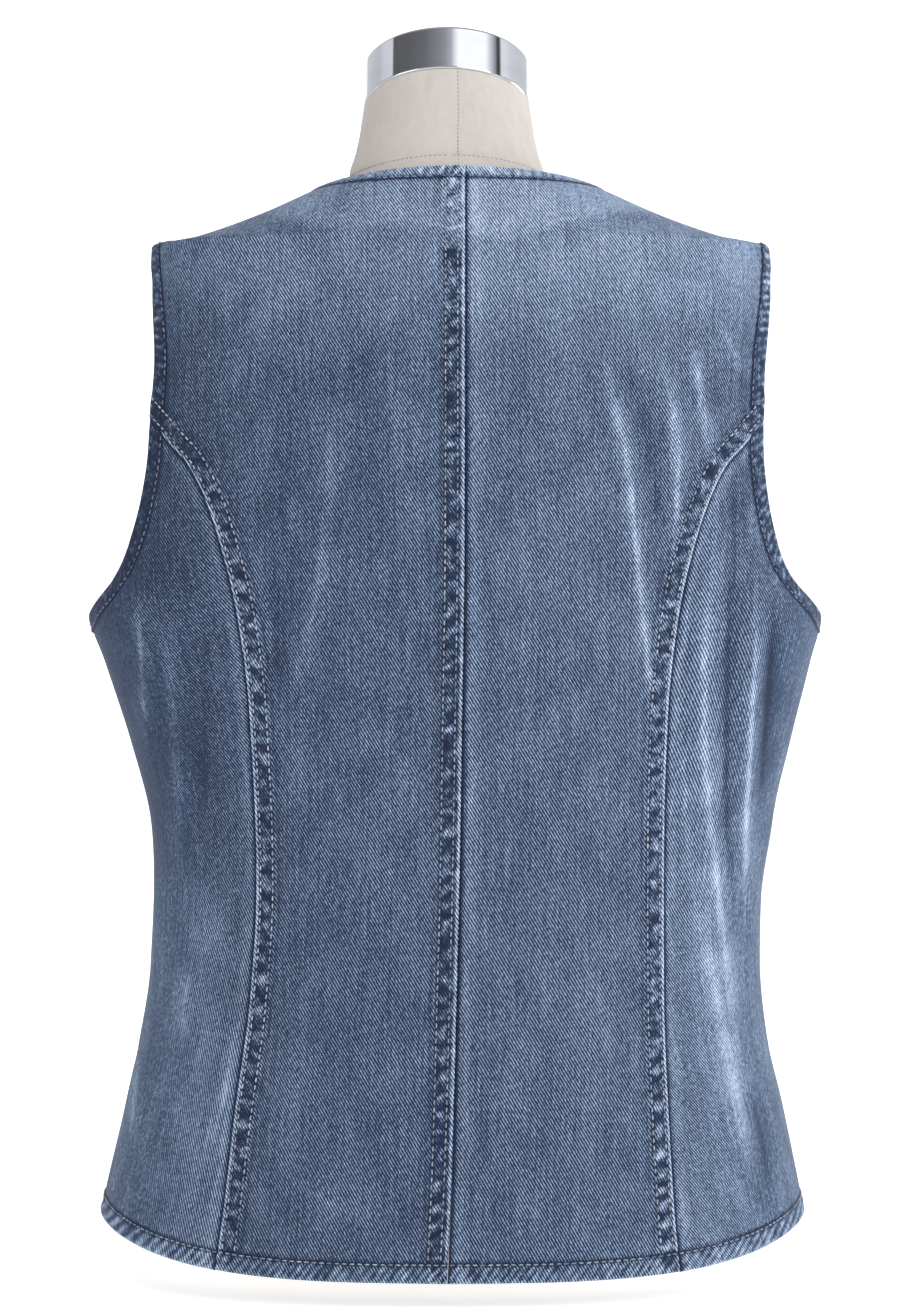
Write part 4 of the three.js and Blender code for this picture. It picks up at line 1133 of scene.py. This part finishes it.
def form_rings(levels, sides, out):
    """The form's rings of points: at each level the torso's rounded rectangle or the leaning neck's circle,
    whichever reaches further, with the corner between them rounded off. out moves the rings outwards."""
    z = levels[:, None]
    angle = np.linspace(0, 2 * np.pi, sides, endpoint=False)[None, :]
    across, along = np.sin(angle), -np.cos(angle)
    turn = NECK_LEAN * smooth((z - 596) / (NECK_TOP[2] - 596))

    def inset(measure):
        return measure(z) - FORM_INSET * np.hypot(1, measure(z + 0.5) - measure(z - 0.5))

    axis_y = NECK_TOP[1] + (np.maximum(z, 530) - NECK_TOP[2]) * np.tan(NECK_LEAN)
    half = np.maximum(inset(section["half"]) - ease["side"](z), 1)
    shift = FORM_SHIFT * (1 - smooth((z - 420) / 100))
    centre_x = mix(section["sway"](z) + shift, NECK_TOP[0], smooth((z - 580) / 30))
    centre_y = mix(section["ridge"](z), axis_y, smooth((z - 592) / 16))
    depth = [np.maximum(inset(lambda at: reach(face, at)) - ease[face](z), 1) for face in ("back", "front")]
    depth = np.where(along < 0, *depth)
    n = ease["power"](z)
    torso = (np.abs(across / half) ** n + np.abs(along / depth) ** n) ** (-1 / n)
    flat = np.cos(NECK_LEAN)
    ray_x, ray_y = across, along * flat
    off_x, off_y = NECK_TOP[0] - centre_x, (axis_y - centre_y) * flat
    square = ray_x**2 + ray_y**2
    towards = ray_x * off_x + ray_y * off_y
    spread = towards**2 - square * (off_x**2 + off_y**2 - neck_radius(z) ** 2)
    column = (towards + np.sqrt(np.maximum(spread, 0))) / square
    far = soft_max(torso, column, 9) + out
    rise = -along * far * np.sin(turn) * np.cos(turn)
    x, y = centre_x + across * far, centre_y + along * far + rise * np.tan(NECK_LEAN)
    return np.stack([x, y, z + rise], -1)


def capped(rings):
    """Rings closed at both ends by shrinking each end ring to its middle."""
    ends = [rings[i].mean(0) for i in (0, -1)]
    first = [ends[0] + (rings[0] - ends[0]) * s for s in (0.002, 0.5, 0.97)]
    last = [ends[1] + (rings[-1] - ends[1]) * s for s in (0.97, 0.5, 0.002)]
    return np.concatenate([first, rings, last])


def lathe(profile, sides):
    """Rings of points from a profile of radius and height."""
    turn = np.linspace(0, 2 * np.pi, sides, endpoint=False)
    r, z = profile[:, 0:1], profile[:, 1:2]
    return np.stack([r * np.cos(turn), r * np.sin(turn), z + 0 * turn], -1)


def rounded(corners, radius, steps=5):
    """A profile with each inner corner rounded by a quadratic curve."""
    corners = np.array(corners, float)
    out = [corners[0]]
    for a, b, c in zip(corners[:-2], corners[1:-1], corners[2:]):
        before, after = a - b, c - b
        cut = min(radius, np.linalg.norm(before) / 2.1, np.linalg.norm(after) / 2.1)
        p, q = b + unit(before) * cut, b + unit(after) * cut
        t = np.linspace(0, 1, steps)[:, None]
        out.extend((1 - t) ** 2 * p + 2 * t * (1 - t) * b + t**2 * q)
    out.append(corners[-1])
    return np.array(out)


def length_property(name, description, millimetres, **limits):
    """A length in Blender's own units, with its default given in millimetres."""
    return FloatProperty(name=name, description=description, default=millimetres * MM, unit="LENGTH",
                         precision=5, **limits)


def power_property(name, watts):
    description = f"Power of the {name.lower()}"
    return FloatProperty(name=name, description=description, default=watts, subtype="POWER")


def colour_property(name, description, value):
    return FloatVectorProperty(name=name, description=description, default=value, subtype="COLOR", size=3,
                               min=0, max=1)


class VestSettings(bpy.types.PropertyGroup):
    """Sizes and colours of the vest and its stage."""

    wall: length_property("Wall", "Thickness of the cloth", 1.5, min=0.5 * MM, max=3 * MM)
    back_pitch: length_property("Back rows", "Step between rows of the back's grid", 1.5, min=MM)
    front_pitch: length_property("Front rows", "Step between rows of the front's grid", 3.2, min=MM)
    column_pitch: length_property("Columns", "Step between columns of the back's grid", 1.95, min=MM)
    twill_pitch: length_property("Twill pitch", "Distance between twill lines", 1.4)
    twill_angle: FloatProperty(name="Twill angle", description="Turn of the twill lines", subtype="ANGLE",
                               default=np.radians(-32))
    wash: FloatProperty(name="Wash", description="How light the whole cloth is", default=0.385)
    # Scales the tone that holds worn fading and painted highlights and shade.
    wear_and_light_strength: FloatProperty(name="Wear", description="How strongly wear changes the shade", default=0.36)
    stitch_pitch: length_property("Stitch", "Length of one stitch with its gap", 3.9)
    thread: length_property("Thread", "Thickness of the thread", 0.82)
    buttons: IntProperty(name="Buttons", description="Number of buttons", default=5, min=1)
    # The ramp's colours: its dark end also shows painted shade, and its pale end painted highlights.
    denim_dark: colour_property("Dark denim", "Unworn warp", (0.008, 0.015, 0.040))
    denim_mid: colour_property("Mid denim", "Washed cloth", (0.042, 0.070, 0.125))
    denim_light: colour_property("Light denim", "Worn cloth", (0.30, 0.385, 0.53))
    denim_pale: colour_property("Pale denim", "Cloth worn through to the weft", (0.64, 0.69, 0.82))
    # Each thread's dark and light colours are its ramp's ends: the dark one is the painted shade between its
    # twists and its darker, dirtier patches, the light one its lit twists and cleaner patches.
    thread_dark: colour_property("Thread shade", "Dirty seam thread", (0.10, 0.12, 0.16))
    thread_light: colour_property("Thread light", "Clean seam thread", (0.42, 0.45, 0.51))
    grey_thread_dark: colour_property("Grey thread shade", "Dirty centre and hem thread", (0.08, 0.10, 0.14))
    grey_thread_light: colour_property("Grey thread light", "Thread of centre and hem", (0.36, 0.39, 0.45))
    edge_thread_dark: colour_property("Edge thread shade", "Dark edge thread", (0.02, 0.03, 0.07))
    edge_thread_light: colour_property("Edge thread light", "Light edge thread", (0.20, 0.24, 0.33))
    form_dark: colour_property("Form shade", "Darker cover", (0.44, 0.40, 0.37))
    form_light: colour_property("Form light", "Lighter cover", (0.55, 0.51, 0.475))
    key_power: power_property("Key light", 46)
    fill_power: power_property("Fill light", 13)
    rim_power: power_property("Rim light", 17)
    sky: FloatProperty(name="Sky", description="Strength of the even light", default=0.62)


def build_face(face, settings):
    """The four panels of one face. Gives back their stitch lines, joined by kind."""
    material = bpy.data.materials.get("washed_denim") or denim_material(settings)
    found = [], [], []
    for side, hand in ((-1, "left"), (1, "right")):
        for kind in ("center", "side"):
            for whole, part in zip(found, add_panel(kind, face, side, hand, settings, material)):
                whole += part
    return found


def finish_stitches(name, paths, settings, shade="light"):
    material = bpy.data.materials.get(f"seam_thread_{shade}") or thread_material(settings, shade)
    piece = add_stitches(name, paths, material, settings.thread / MM, settings.stitch_pitch / MM)
    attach(piece, "root")


class VEST_OT_back(bpy.types.Operator):
    """Build the back's four panels, with their felled seams, turned edges, creases and stitches"""

    bl_idname = "vest.back"
    bl_label = "Build Back"

    def execute(self, context):
        settings = context.scene.vest_settings
        princess_rows, middle, edges = build_face("back", settings)
        finish_stitches("back_stitches", princess_rows, settings)
        finish_stitches("back_middle_stitches", middle, settings, "grey")
        finish_stitches("back_edge_stitches", edges, settings, "dark")
        return {"FINISHED"}


class VEST_OT_front(bpy.types.Operator):
    """Build the front's four panels, the button band and their stitches"""

    bl_idname = "vest.front"
    bl_label = "Build Front"

    def execute(self, context):
        settings = context.scene.vest_settings
        princess_rows, hem, edges = build_face("front", settings)
        band = add_band(bpy.data.materials["washed_denim"])
        finish_stitches("front_stitches", princess_rows + band, settings)
        finish_stitches("front_hem_stitches", hem, settings, "grey")
        finish_stitches("front_edge_stitches", edges, settings, "dark")
        return {"FINISHED"}


# How far the button band's faces stand off the fronts, and its rows of stitches from its edges and ends.
BAND_OUTER, BAND_INNER = 1.8, 0.45
BAND_ROW = 2.8


def band_surface(x, z, out):
    """Points and normals of the fronts' creased face about the middle line, moved out."""
    base, normal = cloth_base("front", 1, x - section["sway"](z), z)
    lift = creases("front", x, z)[0] + bust_lift(x, z)
    return base + normal * (out + lift)[..., None], normal


def add_band(material):
    """The button band: a strip over the middle line with turned edges. Gives back its stitch lines."""
    column = np.array([0, 0.3, 0.8, 1.6, 2.6, 3.6, 5, 7, 9, 11.5, 14])
    u = np.concatenate([column - BAND_HALF, (BAND_HALF - column[:-1])[::-1]])[None, :]
    low = hem_z("front", u)
    share = np.concatenate([[0, 0.0008, 0.002], np.linspace(0, 1, 240)[1:-1], [0.998, 0.9992, 1]])[:, None]
    z = low + (FRONT_V_Z - low) * share
    u = u + 0 * z
    edge = BAND_HALF - np.abs(u)
    end = np.minimum(z - low, FRONT_V_Z - z)
    lift, wear, seam = 0 * u, 0.08 * clouds(u, z, 7.0), 0 * u
    for d, along, width, slant, seed in ((edge, z * np.sign(u), 3.6, 0.5, 2.0), (end, u, 8.5, 0.6, 5.0)):
        rise, fade, on = turned(d, along, width, seed, slant)
        lift, wear, seam = lift + 0.7 * rise, wear + 0.8 * fade, np.maximum(seam, on)
    outer = band_surface(u, z, BAND_OUTER + lift)[0]
    inner = band_surface(u, z, BAND_INNER + 0.35 * np.exp(-edge / 0.45))[0]
    piece = make_mesh("button_band_cloth", np.concatenate([outer.reshape(-1, 3), inner.reshape(-1, 3)]),
                      wall_faces(*u.shape), material, cloth_uv(np.stack([u, z], -1)),
                      wear=both(wear, wear), seam=both(seam, seam), weave=np.ones(2 * u.size))
    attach(piece, "root")
    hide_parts("button_band")
    on_band = BAND_OUTER + 0.1
    level = np.linspace(HEM_SIDE_Z + 1, FRONT_V_Z - 2, 300)
    line = np.linspace(BAND_ROW + 0.4 - BAND_HALF, BAND_HALF - BAND_ROW - 0.4, 40)
    upright = [band_surface(x + 0 * level, level, on_band)
               for x in (BAND_ROW - BAND_HALF, BAND_HALF - BAND_ROW)]
    return upright + [band_surface(line, z + 0 * line, on_band) for z in (FRONT_V_Z - 7.7, HEM_SIDE_Z + 6)]


BUTTON_TOP_Z, BUTTON_PITCH = 338, 65
# Radius and height above the seat: the domed cap, its rolled rim and its back, and the shank.
BUTTON_PROFILE = [(0, 2.9), (3.9, 2.95), (5.2, 3.25), (6.3, 2.75), (7.6, 2.95), (8.5, 2.3), (8.2, 1.75),
                  (7.2, 1.55), (3.2, 1.6), (3.3, 0), (0, 0)]
BUTTONHOLE_HALF, BUTTONHOLE_RISE = 11.2, 1.5


class VEST_OT_buttons(bpy.types.Operator):
    """Build the front's metal buttons and the stitched buttonholes that they close"""

    bl_idname = "vest.buttons"
    bl_label = "Build Buttons"

    def execute(self, context):
        settings = context.scene.vest_settings
        profile = rounded(BUTTON_PROFILE, 0.6)
        profile[[0, -1], 0] = 0.02
        rings = lathe(profile, 48)
        flat = rings.reshape(-1, 3)
        quads = ring_faces(*rings.shape[:2])
        turn = np.linspace(0, 2 * np.pi, 90)
        points, faces, holes = [], [], []
        for i in range(settings.buttons):
            z = np.array([BUTTON_TOP_Z - i * BUTTON_PITCH], float)
            seat, normal = band_surface(0 * z, z, BAND_OUTER + 0.45)
            up = normal[0]
            over = unit(np.cross((0, 0, 1.0), up))
            points.append(seat[0] + flat @ np.stack([over, np.cross(up, over), up]))
            faces.append(quads + i * len(flat))
            level = z[0] + BUTTONHOLE_RISE * np.sin(turn)
            holes.append(band_surface(BUTTONHOLE_HALF * np.cos(turn), level, BAND_OUTER + 0.15))
        metal = metal_material("button_metal", (0.50, 0.47, 0.42), 0.28, 300.0)
        piece = make_mesh("front_buttons", np.concatenate(points), np.concatenate(faces), metal)
        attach(piece, "root")
        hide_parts(*[f"button_{i + 1}" for i in range(settings.buttons)])
        thread = bpy.data.materials["seam_thread_light"]
        piece = add_stitches("buttonhole_stitches", holes, thread, 1.0, 1.1, 1.25)
        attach(piece, "root")
        return {"FINISHED"}


FORM_FOOT_Z, CAP_ROOT_Z = 20, 630.1
NECK_SEAM_X, NECK_SEAM_FOOT_Z, NECK_SEAM_TOP_Z = 2.4, 585, 629.5


def add_form_seams():
    """The neck's back seam and the neckline seam round its foot, each a row of small stitches."""
    thread = plain_material("form_thread", (0.20, 0.15, 0.11), (0.42, 0.36, 0.30), 260.0, 0.8).material
    levels = even(NECK_SEAM_FOOT_Z, NECK_SEAM_TOP_Z, 1.0)
    rings = form_rings(levels, 360, 0.05)
    nearest_back = [np.argmin(np.abs(ring[:, 0] - NECK_SEAM_X) + (ring[:, 1] > 0) * 99) for ring in rings]
    seam = rings[np.arange(len(rings)), nearest_back]
    paths = [(smoothed(seam, 12), np.repeat([[0, -1.0, 0]], len(levels), 0))]
    turn = np.linspace(0, 2 * np.pi, 144, endpoint=False)
    level = 595.5 - 3.5 * (1 - np.cos(turn)) / 2 - 4 * np.sin(turn) ** 2
    ring = form_rings(level, len(turn), 0.05)[np.arange(len(turn)), np.arange(len(turn))]
    outward = (ring - ring.mean(0)) * (1, 1, 0)
    paths.append((ring, unit(outward)))
    piece = add_stitches("form_stitches", paths, thread, 0.5, 2.6, 0.6)
    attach(piece, "root")


# Radius and height above the neck's top: a crowned top, a rounded rim, the wall and the lower rim.
CAP_PROFILE = [(0, 28), (27, 27.4), (43.9, 26.2), (45.4, 24.8), (45.4, 23.4), (45.4, 1.8), (45.4, 0.8),
               (44.7, 0.0), (0, 0)]


def add_cap():
    """The neck cap: a short polished drum with rounded rims and a shallow crowned top."""
    profile = rounded(CAP_PROFILE, 0.8, 6)
    profile[[0, -1], 0] = 0.05
    rings = lathe(profile, 160)
    up = np.array([0, np.sin(NECK_LEAN), np.cos(NECK_LEAN)])
    ahead = np.array([0, np.cos(NECK_LEAN), -np.sin(NECK_LEAN)])
    points = NECK_TOP + 0.3 * up + rings.reshape(-1, 3) @ np.stack([(1, 0, 0), ahead, up])
    chrome = metal_material("neck_cap_chrome", (0.55, 0.56, 0.61), 0.02, 20.0)
    piece = make_mesh("neck_cap_polished", points, ring_faces(*rings.shape[:2]), chrome)
    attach(piece, "root")
    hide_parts("neck_cap")


class VEST_OT_form(bpy.types.Operator):
    """Build the dress form's cloth cover, its seams, the metal neck cap and the stand's finish"""

    bl_idname = "vest.form"
    bl_label = "Build Dress Form"

    def execute(self, context):
        settings = context.scene.vest_settings
        # The rows close up at the foot, from the shoulders up, and under the cap.
        levels = np.concatenate([
            [FORM_FOOT_Z, 20.6, 22, 24],
            even(27, 536, 9),
            even(539, 600, 1.5)[1:],
            even(602, 629, 1.5),
            [629.6, CAP_ROOT_Z],
        ])
        rings = form_rings(levels, 144, 0.0)
        foot = smooth(1 - (levels - FORM_FOOT_Z) / 4)[:, None, None]
        rings -= (rings - rings.mean(1, keepdims=True)) * 0.02 * foot * (1, 1, 0)
        closed = capped(rings)
        linen = linen_material(settings)
        piece = make_mesh("dress_form_cloth", closed.reshape(-1, 3), ring_faces(*closed.shape[:2]), linen)
        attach(piece, "root")
        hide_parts("dress_form")
        add_form_seams()
        add_cap()
        stand = plain_material("stand_finish", (0.62, 0.61, 0.59), (0.72, 0.71, 0.69), 30.0, 0.55).material
        node = bpy.data.objects["stand_base"]
        node.data.materials.clear()
        node.data.materials.append(stand)
        return {"FINISHED"}


def aim(thing, place, target):
    """Adds a light or camera to the scene, looking at a point."""
    thing.location = place
    thing.rotation_euler = (Vector(target) - Vector(place)).to_track_quat("-Z", "Y").to_euler()
    bpy.context.scene.collection.objects.link(thing)


# Each light's place, target and size in metres, and its colour.
LIGHTS = {
    "key": ((1.7, -1.9, 1.9), (0, 0, 0.35), (2.2, 1.4), (1, 0.99, 0.98)),
    "fill": ((-2.2, -1.6, 1.0), (0, 0, 0.3), (1.6, 1.6), (0.97, 0.98, 1)),
    "rim": ((1.9, 0.5, 0.2), (0.1, 0, 0.25), (1.0, 0.8), (1, 1, 1)),
}


def add_lights(settings):
    """The key, fill and rim lights, and an even pale sky."""
    for name, (place, target, size, colour) in LIGHTS.items():
        data = bpy.data.lights.new(name, "AREA")
        data.shape, data.size, data.size_y = "RECTANGLE", *size
        data.energy, data.color = getattr(settings, f"{name}_power"), colour
        aim(bpy.data.objects.new(name, data), place, target)
    world = bpy.data.worlds.new("studio")
    world.use_nodes = True
    background = world.node_tree.nodes["Background"]
    background.inputs["Color"].default_value = (0.97, 0.98, 1, 1)
    background.inputs["Strength"].default_value = settings.sky
    bpy.context.scene.world = world


# The glow of the studio round the neck cap against the turn from straight behind towards +X, in degrees.
STUDIO = np.array([
    (-150, 0.88), (-117, 0.86), (-106, 1.09), (-93, 1.14), (-91, 0.12), (-70, 0.13), (-55, 0.16), (-40, 0.19),
    (-26, 0.28), (-13, 0.35), (-3, 0.45), (8, 0.72), (15, 1.4), (22, 1.9), (67, 1.9), (74, 1.2), (80, 0.7),
    (84, 0.35), (86, 0.05), (90, 0.05), (93, 1.3), (99, 1.3), (112, 1.05), (125, 0.98), (150, 0.9),
])
# How high that part of the studio stands above the cap, against the turn to either side, in degrees.
STUDIO_RISE = np.array([
    (0, 49.5), (30, 47.5), (60, 41.3), (78, 35.6), (88, 32.2), (99, 28), (117, 21.7), (131, 17), (150, 12.5),
])
STUDIO_CENTRE_Z, STUDIO_AWAY, STUDIO_SPREAD = 645, 5700, 7


def add_ribbon():
    """A ribbon of soft boxes and flags round the neck cap, at the turns and rises that the cap mirrors.

    It is a thin shell on a sphere about the cap, from turn -150 to 150 and a few degrees above and below the
    rise, and it glows by its turn alone.
    """
    turn = np.linspace(-150, 150, 401)
    rise = np.interp(np.abs(turn), *STUDIO_RISE.T) + np.linspace(-STUDIO_SPREAD, STUDIO_SPREAD, 7)[:, None]
    a, b = np.radians(turn)[None, :], np.radians(rise)
    ball = np.stack([np.sin(a) * np.cos(b), -np.cos(a) * np.cos(b), np.sin(b)], -1)
    points = np.concatenate([ball * STUDIO_AWAY, ball * (STUDIO_AWAY + 10)]) + (0, 0, STUDIO_CENTRE_Z)
    n = Nodes("studio_ribbon")
    n.colour(n.noise(n.place(), 3.0), [(0.3, (0.02, 0.02, 0.02)), (0.7, (0.03, 0.03, 0.03))])
    n.set(Emission_Color=(0.97, 0.98, 1, 1), Emission_Strength=n.attribute("wear"))
    glow = np.tile(np.interp(turn, *STUDIO.T), 14)
    make_mesh("studio_ribbon", points.reshape(-1, 3), wall_faces(7, 401), n.material, wear=glow)


FLOOR_REACH, FLOOR_SWEEP, WALL_TOP = 5000, 900, 5200
FLOOR_GLOW = 0.62


def add_floor():
    """White paper: a floor that sweeps up into a wall in front of the form, out of the camera's way."""
    turn = np.linspace(0, np.pi / 2, 24)
    run = np.linspace(-FLOOR_REACH, FLOOR_REACH, 40)
    sweep = np.stack([FLOOR_REACH + FLOOR_SWEEP * np.sin(turn), FLOOR_SWEEP - FLOOR_SWEEP * np.cos(turn)], 1)
    rise = np.linspace(FLOOR_SWEEP, WALL_TOP, 20)
    wall = np.stack([FLOOR_REACH + FLOOR_SWEEP + 0 * rise, rise], 1)
    profile = np.concatenate([np.stack([run, 0 * run], 1), sweep[1:], wall[1:]])
    x = np.linspace(-FLOOR_REACH, FLOOR_REACH, 30)
    points = np.stack(np.broadcast_arrays(x[None, :], profile[:, :1], profile[:, 1:2]), -1)
    quads = quads_of(np.arange(points.size // 3).reshape(points.shape[:2]))
    n = plain_material("stage_paper", (0.86, 0.86, 0.86), (0.9, 0.9, 0.9), 2.0, 0.9)
    n.set(Emission_Color=(1, 1, 1, 1), Emission_Strength=FLOOR_GLOW)
    make_mesh("stage_floor", points.reshape(-1, 3), quads, n.material)


# The camera stands level behind the form, in metres. VIEW_HEIGHT is what the photo spans at the form.
CAMERA_X, CAMERA_Z, CAMERA_AWAY = -0.0019, 0.3316, 1.9
VIEW_HEIGHT, PHOTO_SHAPE, SENSOR_HEIGHT = 0.715, 900 / 1312, 36


def add_camera():
    data = bpy.data.cameras.new("photo_camera")
    data.sensor_fit = "VERTICAL"
    data.sensor_height = SENSOR_HEIGHT
    data.sensor_width = SENSOR_HEIGHT * PHOTO_SHAPE
    data.lens = SENSOR_HEIGHT * CAMERA_AWAY / VIEW_HEIGHT
    data.clip_start, data.clip_end = 0.05, 30
    camera = bpy.data.objects.new("photo_camera", data)
    aim(camera, (CAMERA_X, -CAMERA_AWAY, CAMERA_Z), (CAMERA_X, 0, CAMERA_Z))
    bpy.context.scene.camera = camera


class VEST_OT_stage(bpy.types.Operator):
    """Build the floor, the soft studio light and the camera at the photograph's place"""

    bl_idname = "vest.stage"
    bl_label = "Build Stage"

    def execute(self, context):
        add_floor()
        add_lights(context.scene.vest_settings)
        add_ribbon()
        add_camera()
        context.scene.view_settings.view_transform = "Standard"
        context.scene.view_settings.look = "None"
        return {"FINISHED"}


class VEST_PT_panel(bpy.types.Panel):
    """The vest's sizes, colours and building steps"""

    bl_idname = "VEST_PT_panel"
    bl_label = "Denim Vest"
    bl_space_type = "VIEW_3D"
    bl_region_type = "UI"
    bl_category = "Vest"

    def draw(self, context):
        for name in VestSettings.__annotations__:
            self.layout.prop(context.scene.vest_settings, name)
        for operator in OPERATORS:
            self.layout.operator(operator.bl_idname)


OPERATORS = (VEST_OT_form, VEST_OT_back, VEST_OT_front, VEST_OT_buttons, VEST_OT_stage)
CLASSES = (VestSettings, *OPERATORS, VEST_PT_panel)


def register():
    for cls in CLASSES:
        bpy.utils.register_class(cls)
    bpy.types.Scene.vest_settings = PointerProperty(type=VestSettings)


def unregister():
    del bpy.types.Scene.vest_settings
    for cls in reversed(CLASSES):
        bpy.utils.unregister_class(cls)


def main():
    register()
    bpy.ops.vest.form()
    bpy.ops.vest.back()
    bpy.ops.vest.front()
    bpy.ops.vest.buttons()
    bpy.ops.vest.stage()


if __name__ == "__main__":
    main()
